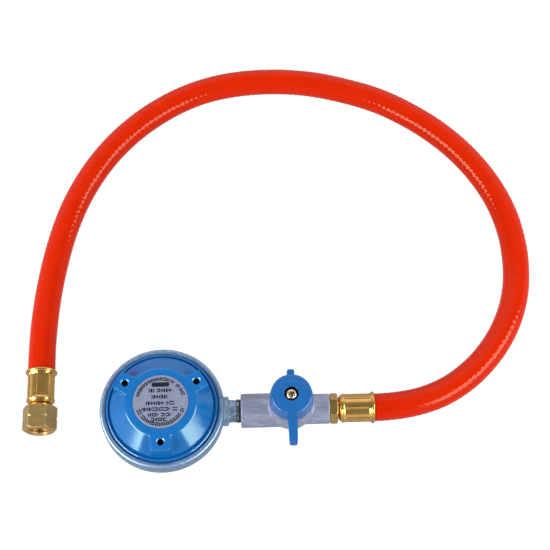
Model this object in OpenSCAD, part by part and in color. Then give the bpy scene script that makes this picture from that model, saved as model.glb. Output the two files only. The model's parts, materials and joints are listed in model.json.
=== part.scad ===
// Low-pressure gas regulator for screw-on cartridges, with an in-line tap, a hose
// and a left-hand swivel nut. The regulator stands on its inlet boss.
// Origin: centre of the cartridge socket's mouth. +Z: up along the regulator's axis.
// +X: along the outlet, from the regulator to the tap and the hose. Millimetres.

/* [Regulator body] */
// Outer diameter of the rolled rim
rim_d = 69; // [64:0.2:76]
// Width of the rim's rounded lip
rim_lip_w = 3.6; // [2.4:0.1:4]
// Height of the rim's lower edge above the socket's mouth
rim_base_z = 18.4; // [17:0.2:22]
// Height of the rim band
rim_h = 10; // [8.5:0.5:12]
// Thickness of the lip over the cover's flange
rim_lip_t = 1.2; // [0.8:0.1:1.4]
// Step from the rim in to the bowl's wall
rim_step = 3; // [1.5:0.1:4]
// Thickness of the bowl's floor and wall
bowl_wall = 2.5; // [1.8:0.1:3]
// Radius of the bowl's lower edge
bowl_edge_r = 9; // [6:0.5:10]
// Outer diameter of the inlet boss
boss_d = 24; // [20:0.5:28]
// Length of the inlet boss below the bowl
boss_h = 8; // [6.5:0.5:9]
// Number of webs between the boss and the bowl
web_count = 6; // [3:1:8]
// Thickness of each web
web_t = 1.8; // [1:0.1:3]

/* [Cartridge socket] */
// Diameter at the crests of the cartridge thread
socket_d = 10.3; // [8:0.1:12]
// Length of the cartridge thread
socket_thread = 8; // [6:0.5:8]
// Diameter of the relief above the thread
relief_d = 11.4; // [10.8:0.1:12]
// Length of the relief, which holds the seal
relief_h = 2; // [1.5:0.1:2.2]
// Diameter of the bore that holds the probe
probe_d = 4.4; // [3.6:0.1:5]
// Thickness of the cartridge seal
cartridge_seal_t = 1.6; // [1:0.1:1.8]

/* [Cover] */
// Thickness of the pressed sheet
cover_t = 1; // [0.8:0.1:1.2]
// Width of the flange that the rim's lip holds down
cover_grip = 1.4; // [1:0.1:1.6]
// Height of the flat top above the flange
cover_rise = 11.8; // [10:0.2:15]
// Diameter of the flat top
plateau_d = 38.4; // [34:0.2:42]
// Width of the narrow shoulder inside the rim
cover_shoulder = 1.6; // [1:0.1:3]
// Height of the shoulder above the flange
cover_shoulder_h = 2; // [1.5:0.1:3]
// Number of raised pads
pad_count = 3; // [2:1:4]
// Width of a pad's flat top
pad_w = 10.4; // [8:0.2:12]
// Distance from the axis to the end of a pad's flat top
pad_end_r = 27.2; // [25:0.1:28]
// Run of a pad's sloping sides and end
pad_slope = 1.4; // [0.8:0.1:2]
// Diameter of the hole in each pad
vent_d = 3.6; // [2.5:0.1:4.5]
// Diameter of the circle that the pad holes lie on
vent_pcd = 45.4; // [44:0.2:48]
// Depth of the rounded dish around each hole
vent_dish = 0.5; // [0.2:0.1:0.6]
// Diameter of the rating disc
disc_d = 30.2; // [26:0.2:33]
// Thickness of the rating disc
disc_t = 0.3; // [0.2:0.05:0.5]

/* [Diaphragm and spring] */
// Thickness of the diaphragm
diaphragm_t = 1; // [0.6:0.1:1.2]
// Radius of the diaphragm's rolled fold
fold_r = 2.2; // [1.5:0.1:2.5]
// Drop of the diaphragm's centre below its edge with the valve open
diaphragm_drop = 1.2; // [1:0.1:1.6]
// Travel of the diaphragm's centre from open to shut
valve_travel = 1.1; // [0.6:0.1:1.2]
// Diameter of the pressed diaphragm plate
plate_d = 42; // [34:0.5:46]
// Thickness of the diaphragm plate
plate_t = 0.9; // [0.6:0.1:1.2]
// Height of the plate's turned-up edge
plate_edge_h = 1.6; // [1:0.1:2.5]
// Mean diameter of the main spring
spring_d = 18; // [14:0.5:24]
// Wire diameter of the main spring
spring_wire = 1.4; // [1:0.1:1.6]
// Turns of the main spring
spring_turns = 4.5; // [3:0.5:5]

/* [Valve lever] */
// Distance from the regulator's axis to the lever's pin
long_arm = 11.5; // [10:0.1:13]
// Distance from the lever's pin to the nozzle
short_arm = 4.5; // [4:0.1:5]
// Height of the lever's pin above the bowl's floor
pin_rise = 8.7; // [8:0.1:9.5]
// Diameter of the lever's pin
pin_d = 1.8; // [1.4:0.1:2.2]
// Thickness of the lever
lever_t = 1.2; // [1:0.1:1.5]
// Width of the lever at its pin
lever_w = 4.6; // [4:0.1:6]
// Width of the lever's tip
lever_tip_w = 2.4; // [2:0.1:2.8]
// Diameter of the valve pad
valve_pad_d = 3.8; // [3:0.1:4.2]
// Thickness of the valve pad
valve_pad_t = 1.3; // [1:0.1:1.6]
// Diameter of the nozzle's orifice
orifice_d = 1.6; // [1:0.1:2]
// Diameter of the diaphragm stem
stem_d = 5.2; // [4.8:0.1:6.5]

/* [Outlet spigot] */
// Height of the outlet axis above the socket's mouth
outlet_z = 18; // [17:0.2:19]
// Diameter of the spigot's root flange
spigot_root_d = 16.3; // [14:0.1:17]
// Length of the root flange outside the rim
spigot_root_len = 2.1; // [1:0.1:6]
// Diameter of the spigot's neck
spigot_neck_d = 12.5; // [11:0.1:14]
// Length of the spigot's neck
spigot_neck_len = 4.6; // [3:0.1:8]
// Diameter of the spigot's tail inside the tap
spigot_tail_d = 9.8; // [8.6:0.1:10.4]
// Length of the spigot's tail inside the tap
spigot_tail_len = 12; // [8:0.5:13]
// Diameter of the gas way
gas_way_d = 6.4; // [4:0.1:7]
// Thickness of the toothed lock ring
lock_ring_t = 1.1; // [0.8:0.1:1.6]
// Outer diameter of the toothed lock ring
lock_ring_d = 13.4; // [12.6:0.1:15]
// Number of notches around the lock ring
lock_ring_notches = 10; // [6:1:16]
// Thickness of the outlet seal
outlet_seal_t = 1; // [0.6:0.1:1.5]
// Outer diameter of the outlet seal
outlet_seal_d = 12.8; // [12:0.1:15]

/* [Tap body] */
// Diameter of the inlet barrel
barrel_in_d = 19; // [17:0.1:21]
// Diameter of the outlet barrel
barrel_out_d = 16.8; // [15:0.1:19]
// Distance from the inlet face to the handle's axis
barrel_in_len = 28; // [24:0.5:32]
// Distance from the handle's axis to the outlet face
barrel_out_len = 21.5; // [18:0.5:26]
// Diameter of the drum that holds the plug
drum_d = 24.4; // [23:0.2:25]
// Height of the drum's top above the gas way
drum_rise = 18.6; // [17.5:0.1:20]
// Height of the drum's lower edge above the gas way
drum_foot = 1.6; // [0.5:0.1:4]
// Diameter of the plug
plug_d = 14; // [12:0.2:15]
// Thickness of metal under the plug
plug_floor = 2.5; // [1.5:0.1:3]
// Depth of the retaining clip below the drum's top
clip_depth = 4.5; // [4:0.1:6]
// Thickness of the retaining clip
clip_t = 1; // [0.8:0.1:1.2]

/* [Tap handle] */
// Diameter of the handle's base
handle_base_d = 24.6; // [23:0.1:28]
// Diameter of the handle's top face
handle_top_d = 22.5; // [20:0.1:24]
// Height of the handle
handle_h = 10; // [9:0.1:12]
// Wall of the handle's skirt
handle_wall = 1.6; // [1.2:0.1:2]
// Distance from the axis to the lever's end
lever_reach = 27.4; // [22:0.2:34]
// Width of the lever at its root
lever_root_w = 6.4; // [4.5:0.1:7]
// Width of the lever at its end
lever_end_w = 4.8; // [3:0.1:5]
// Depth of the lever
lever_depth = 6.5; // [5:0.1:7.5]
// Width of the pointer tab behind the handle
tab_w = 4.1; // [2.5:0.1:5]
// Distance from the axis to the pointer tab's end
tab_reach = 16.2; // [14:0.1:18]
// Diameter of the recess over the screw
recess_d = 7.8; // [7.4:0.1:9]
// Depth of the recess over the screw
recess_depth = 2.5; // [2:0.1:3]
// Diameter of the screw's head
screw_head_d = 6.1; // [5:0.1:6.6]
// Height of the screw's head
screw_head_h = 1.7; // [1.2:0.1:2]
// Diameter of the screw's shank
screw_d = 3; // [2.5:0.1:3.2]
// Width of the plug's square
square_w = 6; // [5:0.1:6.4]
// Angle from closed to open
handle_turn = 90; // [80:5:100]

/* [Hose and ferrules] */
// Outer diameter of the hose
hose_d = 15; // [13:0.5:16]
// Diameter of the hose's bore across its corners
hose_bore_d = 8.6; // [8.5:0.1:9]
// Outer diameter of the hose where a ferrule grips it
crimped_d = 14.2; // [13:0.1:15]
// Outer diameter of a ferrule
ferrule_d = 17; // [15.6:0.1:18]
// Length of a ferrule
ferrule_len = 20; // [16:0.5:21]
// Diameter of the bead at a ferrule's open end
ferrule_lip_d = 18; // [16.8:0.1:20]
// Length of the bead
ferrule_lip_len = 3.6; // [2:0.1:4]
// Width across the crimped flats
crimp_af = 15.8; // [15.2:0.1:16]
// Number of crimped flats
crimp_sides = 8; // [6:1:10]

/* [Brass fittings] */
// Width across the flats of the outlet collar
collar_af = 15; // [13:0.1:17]
// Length of the outlet collar
collar_len = 4.6; // [3:0.1:6]
// Length of the threaded stub inside the tap
stub_len = 10; // [7:0.5:12]
// Diameter of the stub inside the tap
stub_d = 9.8; // [8.6:0.1:10.4]
// Diameter of the neck between a collar and its tail
neck_d = 9.4; // [9:0.1:10]
// Diameter over the barbs
barb_d = 8.2; // [7.4:0.1:8.2]
// Diameter between the barbs
barb_root_d = 7.2; // [6.6:0.1:7.4]
// Distance from a collar to the ferrule's closed end
ferrule_stand = 5; // [4.9:0.1:8]
// Number of barbs on a tail
barb_count = 4; // [2:1:6]
// Length of a tail
tail_len = 17; // [12:0.5:18]
// Bore of the brass fittings
fitting_bore_d = 5.2; // [4:0.1:5.4]

/* [Swivel nut] */
// Width across the flats
nut_af = 17.2; // [17:0.1:19]
// Length of the nut
nut_len = 15; // [14:0.5:18]
// Diameter at the crests of the nut's thread
nut_thread_d = 11.4; // [10:0.1:12]
// Length of the nut's thread
nut_thread_len = 8.4; // [7:0.1:9]
// Thickness of the nut's back wall
nut_back = 2.8; // [2:0.1:3]
// Diameter of the chamber behind the thread
nut_chamber_d = 12.6; // [12.4:0.1:13.4]
// Depth of the V notches that mark a left-hand thread
notch_depth = 1; // [0.5:0.1:1.3]

/* [Fits] */
// Radial clearance of a fixed joint
fixed_fit = 0.1; // [0.05:0.05:0.2]
// Radial clearance of a turning joint
turning_fit = 0.05; // [0.02:0.01:0.1]
// Gap between pieces that pass each other
free_gap = 0.3; // [0.3:0.05:0.5]

/* [Hidden] */
$fn = 72;
eps = 0.01;

// Heights in the regulator, from the socket's mouth upwards
floor_z = boss_h + bowl_wall;
rim_top_z = rim_base_z + rim_h;
seat_z = rim_top_z - rim_lip_t;
ledge_z = seat_z - cover_t - diaphragm_t;
cover_top_z = seat_z + cover_rise;
dia_low_z = ledge_z - diaphragm_drop;
plate_z = dia_low_z + diaphragm_t;
socket_top_z = socket_thread + relief_h;

// Radii in the regulator
rim_r = rim_d / 2;
lip_r = rim_lip_w / 2;
lip_in_r = rim_r - rim_lip_w;
cover_r = lip_in_r - fixed_fit;
flange_r = cover_r + cover_grip;
bowl_r = rim_r - rim_step;
chamber_r = bowl_r - bowl_wall;
chamber_edge_r = bowl_edge_r - bowl_wall;
boss_r = boss_d / 2;
web_end_r = bowl_r - bowl_edge_r;
vent_r = vent_pcd / 2;
pad_out_r = pad_end_r + pad_slope;
pad_side = pad_w / 2 + pad_slope;

// Valve lever
pin_x = -long_arm;
nozzle_x = pin_x - short_arm;
pin_z = floor_z + pin_rise;
pin_r = pin_d / 2;
lever_eye_r = pin_r + 1;
lever_rib = 0.8;
valve_cup_d = valve_pad_d + 1.6;
open_angle = asin(valve_travel / long_arm);
pad_low_z = pin_z + lever_t / 2 - valve_pad_t;
shut_gap = 0.02;
nozzle_top_z = pad_low_z - shut_gap;
nozzle_seat_r = 1.5;
nozzle_r = 2.4;
nozzle_flange_w = 0.7;
nozzle_flange_t = 1.2;
tower_r = 4.4;
tower_top_z = nozzle_top_z - 2.6;
ear_r = pin_r + 1.2;
ear_t = 1.4;
ear_gap = lever_w + 2 * free_gap;
passage_z = floor_z + 2;
passage_r = 1.2;
nozzle_low_z = passage_z + 1;
bar_top_z = passage_z + 2 * passage_r;

// Slot of the diaphragm's stem, which the lever's tip works in
slot_h = lever_t + 0.9;
slot_z = pin_z - valve_travel - slot_h / 2;
slot_web = 1.4;
stem_flange_t = 0.9;
stem_head_t = 1;
plate_boss_t = 0.8;

// Outlet and tap, along X
spigot_root_x = rim_r + spigot_root_len;
ring_x = spigot_root_x + spigot_neck_len;
seal_x = ring_x + lock_ring_t;
tap_in_x = seal_x + outlet_seal_t + fixed_fit;
handle_x = tap_in_x + barrel_in_len;
tap_out_x = handle_x + barrel_out_len;
drum_top_z = outlet_z + drum_rise;
drum_r = drum_d / 2;
plug_low_z = outlet_z - barrel_in_d / 2 + plug_floor;
plug_r = plug_d / 2;
plug_side_r = plug_r - turning_fit;
clip_z = drum_top_z - clip_depth;
clip_groove_r = plug_r + 0.9;
plug_top_z = clip_z - free_gap;
handle_z = drum_top_z + free_gap;
handle_top_z = handle_z + handle_h;
recess_z = handle_top_z - recess_depth;
square_top_z = recess_z - 1.4;
plug_neck_r = square_w / 2 + 1.6;
plug_neck_z = drum_top_z - 1.6;
screw_len = 8;
washer_t = 0.6;
washer_slack = 0.4;
oring_w = 1.5;
oring_gap = 0.02;
groove_h = oring_w + 0.3;
groove_zs = [plug_low_z + 1.2, outlet_z + gas_way_d / 2 + 4.2];
lug_in_r = plug_r + 1.7;
lug_out_r = drum_r - 1.6;
lug_half_angle = 10;
lug_slack = 2;
lug_depth = 1.5;
track_depth = lug_depth + free_gap + 0.3;

// Hose route: centre of the hose, from the tap to the swivel nut
hose_route = [
    [99.5, 0, 18], [113.5, 0, 18], [118, 0, 18], [139, 2, 17.6], [157, 8, 16.5],
    [173, 18.5, 14.9], [187, 33, 13], [198, 50.5, 11], [205, 70, 9.3],
    [207.5, 91, 8.1], [206, 111.5, 7.6], [200.5, 131.5, 7.6], [191.5, 149.5, 7.6],
    [179.5, 166, 7.6], [165, 180.5, 7.6], [149, 192.5, 7.6], [131.5, 202.5, 7.6],
    [113, 209.5, 7.6], [93.5, 214.8, 7.6], [73.5, 217.4, 7.6], [53.5, 217.4, 7.6],
    [33.5, 214.6, 7.6], [14.5, 208.4, 7.6], [-3, 198.8, 7.6], [-19.5, 186, 7.6],
    [-33.5, 171, 7.6], [-45, 154, 7.6], [-54, 135.5, 7.6], [-60.5, 116, 7.7],
    [-65, 96, 8], [-68, 76, 8.8], [-69.6, 56, 9.9], [-70, 42, 10.6],
    [-70, 29, 10.8], [-70, 24.5, 10.8], [-70, 10.6, 10.8]];
// Rings at each end that lie inside a ferrule
gripped_rings = 2;
hose_sides = 12;

// The swivel nut's mouth, and the angle of its flats about its own axis
end_x = -70;
end_y = -6.8;
end_z = 10.8;
nut_turn = 57;
collar_turn = 40;
ferrule_wall_t = 1.3;
ferrule_bead_r = 0.9;
hose_slack = 0.35;
nut_collar_d = 11.2;
nut_ferrule_gap = 0.9;
seat_cone_z = nut_thread_len + 0.2;

// Points on an arc of radius r about [x, y], from angle a to angle b
function arc(x, y, r, a, b, steps) =
    [for (i = [0 : steps]) let (t = a + (b - a) * i / steps) [x + r * cos(t), y + r * sin(t)]];

// Unit vector along v
function unit(v) = v / norm(v);

// Direction of a path at point i
function heading(path, i) =
    unit(path[min(i + 1, len(path) - 1)] - path[max(i - 1, 0)]);

// Ring of n points of radius r about path point i, square to the path
function ring_at(path, i, r, n) =
    let (t = heading(path, i), side = unit(cross([0, 0, 1], t)), top = cross(t, side))
    [for (k = [0 : n - 1]) path[i] + r * (cos(360 * k / n) * side + sin(360 * k / n) * top)];

// Quads between ring a and ring b of n points each, outward for a tube that runs a to b
function band(a, b, n) =
    [for (k = [0 : n - 1]) [a + k, a + (k + 1) % n, b + (k + 1) % n, b + k]];

// Quads as pairs of triangles
function triangles(quads) =
    [for (q = quads) each [[q[0], q[1], q[2]], [q[0], q[2], q[3]]]];

module at_outlet(x) {
    translate([x, 0, outlet_z]) rotate([0, 90, 0]) children();
}

// Turns the shut lever about its pin to where it lies with the valve open
module at_open_lever() {
    translate([pin_x, 0, pin_z]) rotate([0, open_angle, 0]) translate([-pin_x, 0, -pin_z])
        children();
}

module at_end() {
    translate([end_x, end_y, end_z]) rotate([-90, 0, 0]) rotate([0, 0, nut_turn]) children();
}

// Solid bowl with its boss and rim band, before it is hollowed
module bowl_solid() {
    chamfer = 0.6;
    fillet = 1.5;
    rim_chamfer = 0.8;
    rotate_extrude() polygon(concat(
        [[0, 0], [boss_r - chamfer, 0], [boss_r, chamfer], [boss_r, boss_h - fillet]],
        arc(boss_r + fillet, boss_h - fillet, fillet, 180, 90, 4),
        arc(web_end_r, boss_h + bowl_edge_r, bowl_edge_r, -90, 0, 8),
        [[bowl_r, rim_base_z - rim_chamfer / 2], [rim_r - rim_chamfer, rim_base_z],
            [rim_r, rim_base_z + rim_chamfer], [rim_r, rim_top_z - lip_r],
            [0, rim_top_z - lip_r]]));
    rotate_extrude() translate([rim_r - lip_r, rim_top_z - lip_r]) circle(lip_r);
}

// Chamber under the diaphragm, the seat for its edge and the opening inside the lip
module bowl_hollow() {
    rotate_extrude() polygon(concat(
        [[0, floor_z]],
        arc(chamber_r - chamber_edge_r, floor_z + chamber_edge_r, chamber_edge_r, -90, 0, 8),
        [[chamber_r, ledge_z], [flange_r + fixed_fit, ledge_z], [flange_r + fixed_fit, seat_z],
            [lip_in_r, seat_z], [lip_in_r, cover_top_z], [0, cover_top_z]]));
}

// Cast bar that carries the gas from the centre to the nozzle, with the lever's ears
module inlet_tower() {
    translate([0, 0, boss_h + eps]) linear_extrude(bar_top_z - boss_h - eps) union() {
        circle(tower_r);
        translate([nozzle_x, 0]) circle(tower_r);
        translate([nozzle_x, -tower_r]) square([-nozzle_x, 2 * tower_r]);
    }
    translate([nozzle_x, 0, boss_h + eps]) cylinder(r = tower_r, h = tower_top_z - boss_h - eps);
    for (side = [-1, 1])
        translate([pin_x, side * (ear_gap + ear_t) / 2, 0]) rotate([90, 0, 0])
            linear_extrude(ear_t, center = true) union() {
                translate([0, pin_z]) circle(ear_r);
                translate([-ear_r, floor_z - eps]) square([2 * ear_r, pin_z - floor_z + eps]);
            }
}

module regulator_body() {
    web_low_z = 2;
    root = 4;
    color("silver") difference() {
        union() {
            difference() {
                union() {
                    bowl_solid();
                    at_outlet(bowl_r - root)
                        cylinder(d = spigot_root_d, h = spigot_root_x - bowl_r + root);
                    at_outlet(bowl_r) cylinder(d = spigot_neck_d, h = ring_x - bowl_r);
                    at_outlet(bowl_r)
                        cylinder(d = spigot_tail_d, h = ring_x - bowl_r + spigot_tail_len);
                    for (i = [0 : web_count - 1])
                        rotate(360 * (i + 0.5) / web_count) rotate([90, 0, 0])
                            linear_extrude(web_t, center = true)
                            polygon([[boss_r - 1, web_low_z], [boss_r - 1, boss_h + 1],
                                [web_end_r + 2, boss_h + 1], [web_end_r, boss_h - 0.4],
                                [boss_r + 2, web_low_z]]);
                }
                bowl_hollow();
            }
            inlet_tower();
        }
        translate([0, 0, -eps]) cylinder(d = socket_d, h = socket_thread + 2 * eps);
        translate([0, 0, socket_thread]) cylinder(d = relief_d, h = relief_h);
        translate([0, 0, socket_top_z - eps]) cylinder(d = probe_d, h = passage_z - socket_top_z + 1);
        translate([0, 0, passage_z]) rotate([0, -90, 0]) cylinder(r = passage_r, h = -nozzle_x);
        translate([nozzle_x, 0, passage_z - passage_r])
            cylinder(r = passage_r, h = tower_top_z - passage_z);
        translate([nozzle_x, 0, nozzle_low_z])
            cylinder(r = nozzle_r + fixed_fit, h = tower_top_z - passage_z);
        translate([pin_x, 0, pin_z]) rotate([90, 0, 0])
            cylinder(d = pin_d, h = ear_gap + 2 * ear_t + 1, center = true);
        at_outlet(chamber_r - root)
            cylinder(d = gas_way_d, h = ring_x + spigot_tail_len - chamber_r + root + 1);
    }
}

// Outline of the pressed cover, drawn in by d for its inner face. At a bend that face moves
// in by less than d.
module cover_form(d) {
    bend = 0.4 * d;
    fold = 0.6;
    shoulder_z = seat_z + cover_shoulder_h;
    rotate_extrude() polygon([
        [0, seat_z - cover_t], [cover_r - d, seat_z - cover_t],
        [cover_r - d, shoulder_z - fold - bend], [cover_r - fold - 2 * bend, shoulder_z - d],
        [cover_r - cover_shoulder - bend, shoulder_z + fold / 2 - d],
        [plateau_d / 2 + 1.5 * fold - bend, cover_top_z - fold - d],
        [plateau_d / 2 - fold, cover_top_z - d], [0, cover_top_z - d]]);
    intersection() {
        for (i = [0 : pad_count - 1])
            rotate(-90 + 360 * i / pad_count) pad_form(d);
        translate([0, 0, seat_z]) cylinder(r = cover_r - cover_shoulder, h = cover_rise + 1);
    }
}

// One raised pad, from the axis outwards along X, drawn in by d
module pad_form(d) {
    low_z = seat_z + 1;
    slope_z = cover_top_z - 5.2;
    top_z = cover_top_z - d;
    intersection() {
        rotate([90, 0, 0]) linear_extrude(2 * pad_w, center = true)
            polygon([[0, low_z], [pad_out_r + 0.6 - d, low_z], [pad_out_r - d, slope_z],
                [pad_end_r - d / 2, top_z], [0, top_z]]);
        rotate([90, 0, 90]) linear_extrude(flange_r)
            polygon([[-pad_side + d, low_z], [pad_side - d, low_z], [pad_side - d, slope_z],
                [(pad_w - d) / 2, top_z], [-(pad_w - d) / 2, top_z], [-pad_side + d, slope_z]]);
    }
}

module regulator_cover() {
    color("dodgerblue") difference() {
        union() {
            cover_form(0);
            translate([0, 0, seat_z - cover_t]) cylinder(r = flange_r, h = cover_t);
        }
        cover_form(cover_t);
        for (i = [0 : pad_count - 1])
            rotate(-90 + 360 * i / pad_count) translate([vent_r, 0, cover_top_z]) {
                translate([0, 0, -cover_t - 1]) cylinder(d = vent_d, h = cover_t + 2);
                translate([0, 0, -vent_dish])
                    cylinder(d1 = vent_d, d2 = vent_d + 2.4 * vent_dish, h = vent_dish + eps);
            }
    }
}

module rating_disc() {
    color("gainsboro") translate([0, 0, cover_top_z]) cylinder(d = disc_d, h = disc_t);
}

// Rubber diaphragm: clamped edge, rolled fold and low centre
module diaphragm() {
    lap = 0.8;
    fold_x = chamber_r - fold_r - 2 * free_gap;
    color("dimgray") rotate_extrude() difference() {
        union() {
            translate([chamber_r - lap, ledge_z]) square([flange_r - chamber_r + lap, diaphragm_t]);
            translate([fold_x, ledge_z]) circle(fold_r);
            translate([0, dia_low_z]) square([fold_x - fold_r + lap, diaphragm_t]);
        }
        translate([fold_x, ledge_z]) circle(fold_r - diaphragm_t);
        translate([fold_x - fold_r + diaphragm_t, dia_low_z - fold_r])
            square([2 * fold_r - 2 * diaphragm_t, diaphragm_drop + fold_r - eps]);
        translate([fold_x - fold_r - lap, ledge_z - 2 * fold_r])
            square([2 * fold_r + 2 * lap, 2 * fold_r - diaphragm_drop]);
        translate([0, dia_low_z - 1]) square([stem_d / 2 + fixed_fit, diaphragm_t + 2]);
    }
}

module diaphragm_plate() {
    color("lightsteelblue") rotate_extrude() difference() {
        union() {
            translate([0, plate_z]) square([plate_d / 2 - 0.5, plate_t]);
            translate([plate_d / 2 - plate_t, plate_z + 0.5]) square([plate_t, plate_edge_h]);
            translate([plate_d / 2 - plate_t, plate_z + plate_t]) circle(plate_t);
            translate([0, plate_z])
                square([(spring_d - spring_wire) / 2 - fixed_fit - 1.4, plate_t + plate_boss_t]);
        }
        translate([0, plate_z - 1]) square([stem_d / 2 + fixed_fit, plate_t + plate_boss_t + 2]);
    }
}

// Post through the diaphragm, with the slot that the lever's tip works in
module diaphragm_stem() {
    head_z = plate_z + plate_t + plate_boss_t;
    low_z = slot_z - slot_web;
    color("gold") difference() {
        union() {
            translate([0, 0, low_z]) cylinder(d = stem_d, h = head_z + stem_head_t - low_z);
            translate([0, 0, dia_low_z - stem_flange_t])
                cylinder(d = stem_d + 5, h = stem_flange_t - eps);
            translate([0, 0, head_z]) cylinder(d = stem_d + 2.4, h = stem_head_t);
        }
        translate([-stem_d, -lever_tip_w / 2 - free_gap, slot_z])
            cube([2 * stem_d, lever_tip_w + 2 * free_gap, slot_h]);
    }
}

// Main spring, one unbroken tube from the plate to the cover
spring_low_z = plate_z + plate_t + spring_wire / 2 + 0.05;
spring_high_z = cover_top_z - cover_t - spring_wire / 2 - 0.05;
spring_rings = 8;
spring_path = [for (i = [0 : spring_turns * spring_rings])
    let (a = 360 * i / spring_rings, u = i / (spring_turns * spring_rings))
    [spring_d / 2 * cos(a), spring_d / 2 * sin(a), spring_low_z + u * (spring_high_z - spring_low_z)]];
spring_gap = min([for (i = [0 : len(spring_path) - 1 - spring_rings])
    norm(spring_path[i + spring_rings] - spring_path[i])]) - spring_wire;
echo(spring_least_gap = spring_gap);

module main_spring() {
    n = 6;
    last = (len(spring_path) - 1) * n;
    color("slategray") polyhedron(
        points = [for (i = [0 : len(spring_path) - 1]) each ring_at(spring_path, i, spring_wire / 2, n)],
        faces = concat(
            [for (k = [1 : n - 2]) [0, k + 1, k]],
            triangles([for (i = [0 : len(spring_path) - 2]) each band(i * n, (i + 1) * n, n)]),
            [for (k = [1 : n - 2]) [last, last + k, last + k + 1]]));
}

module valve_lever() {
    low_z = pin_z - lever_t / 2;
    tip_x = 1.5;
    taper_x = pin_x + long_arm / 3;
    slim_x = pin_x + long_arm * 0.6;
    color("darkgray") at_open_lever() difference() {
        union() {
            translate([pin_x, 0, pin_z]) rotate([90, 0, 0])
                cylinder(r = lever_eye_r, h = lever_w, center = true);
            translate([0, 0, low_z]) linear_extrude(lever_t)
                polygon([[pin_x, -lever_w / 2], [taper_x, -lever_w / 2],
                    [slim_x, -lever_tip_w / 2], [tip_x, -lever_tip_w / 2],
                    [tip_x, lever_tip_w / 2], [slim_x, lever_tip_w / 2],
                    [taper_x, lever_w / 2], [pin_x, lever_w / 2]]);
            translate([nozzle_x, -lever_w / 2, low_z]) cube([short_arm, lever_w, lever_t + lever_rib]);
            translate([nozzle_x, 0, low_z]) cylinder(d = valve_cup_d, h = lever_t + lever_rib);
        }
        translate([pin_x, 0, pin_z]) rotate([90, 0, 0])
            cylinder(r = pin_r + turning_fit, h = lever_w + 1, center = true);
        translate([nozzle_x, 0, pin_z - lever_t]) cylinder(d = valve_pad_d, h = lever_t + lever_t / 2);
    }
}

module lever_pin() {
    color("silver") translate([pin_x, 0, pin_z]) rotate([90, 0, 0])
        cylinder(r = pin_r, h = ear_gap + 2 * ear_t + 0.6, center = true);
}

module valve_pad() {
    color("black") at_open_lever() translate([nozzle_x, 0, pad_low_z])
        cylinder(d = valve_pad_d, h = valve_pad_t);
}

module inlet_nozzle() {
    flange_out_r = nozzle_r + nozzle_flange_w;
    flange_z = tower_top_z + nozzle_flange_t;
    color("goldenrod") translate([nozzle_x, 0, 0]) rotate_extrude() polygon([
        [orifice_d / 2, nozzle_low_z], [nozzle_r, nozzle_low_z], [nozzle_r, tower_top_z],
        [flange_out_r, tower_top_z], [flange_out_r, flange_z],
        [nozzle_seat_r + 0.3, flange_z + 0.2], [nozzle_seat_r - 0.2, nozzle_top_z],
        [orifice_d / 2, nozzle_top_z]]);
}

// Hollow probe that opens the cartridge's valve
module cartridge_probe() {
    probe_r = probe_d / 2 - fixed_fit;
    hole_r = 0.8;
    chamfer = 0.6;
    low_z = socket_thread + fixed_fit;
    top_z = passage_z - passage_r - fixed_fit;
    color("goldenrod") rotate_extrude() polygon([
        [hole_r, low_z], [probe_r - chamfer, low_z], [probe_r, low_z + chamfer],
        [probe_r, top_z], [hole_r, top_z]]);
}

module cartridge_seal() {
    color("black") translate([0, 0, socket_top_z - cartridge_seal_t - eps]) difference() {
        cylinder(d = relief_d - 2 * fixed_fit, h = cartridge_seal_t);
        translate([0, 0, -1]) cylinder(d = probe_d, h = cartridge_seal_t + 2);
    }
}

module spigot_lock_ring() {
    notch_w = 1.4;
    notch_in = 0.6;
    color("lightgray") at_outlet(ring_x) difference() {
        cylinder(d = lock_ring_d, h = lock_ring_t);
        translate([0, 0, -1]) cylinder(d = spigot_tail_d + 2 * fixed_fit, h = lock_ring_t + 2);
        for (i = [0 : lock_ring_notches - 1])
            rotate(360 * i / lock_ring_notches)
                translate([lock_ring_d / 2 - notch_in, -notch_w / 2, -1])
                cube([notch_in + 1, notch_w, lock_ring_t + 2]);
    }
}

module outlet_seal() {
    color("black") at_outlet(seal_x) difference() {
        cylinder(d = outlet_seal_d, h = outlet_seal_t);
        translate([0, 0, -1]) cylinder(d = spigot_tail_d + 2 * fixed_fit, h = outlet_seal_t + 2);
    }
}

// Sector of a ring from radius a to radius b, between two angles
module ring_sector(a, b, h, from, to) {
    rotate([0, 0, from]) rotate_extrude(angle = to - from) translate([a, 0]) square([b - a, h]);
}

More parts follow.
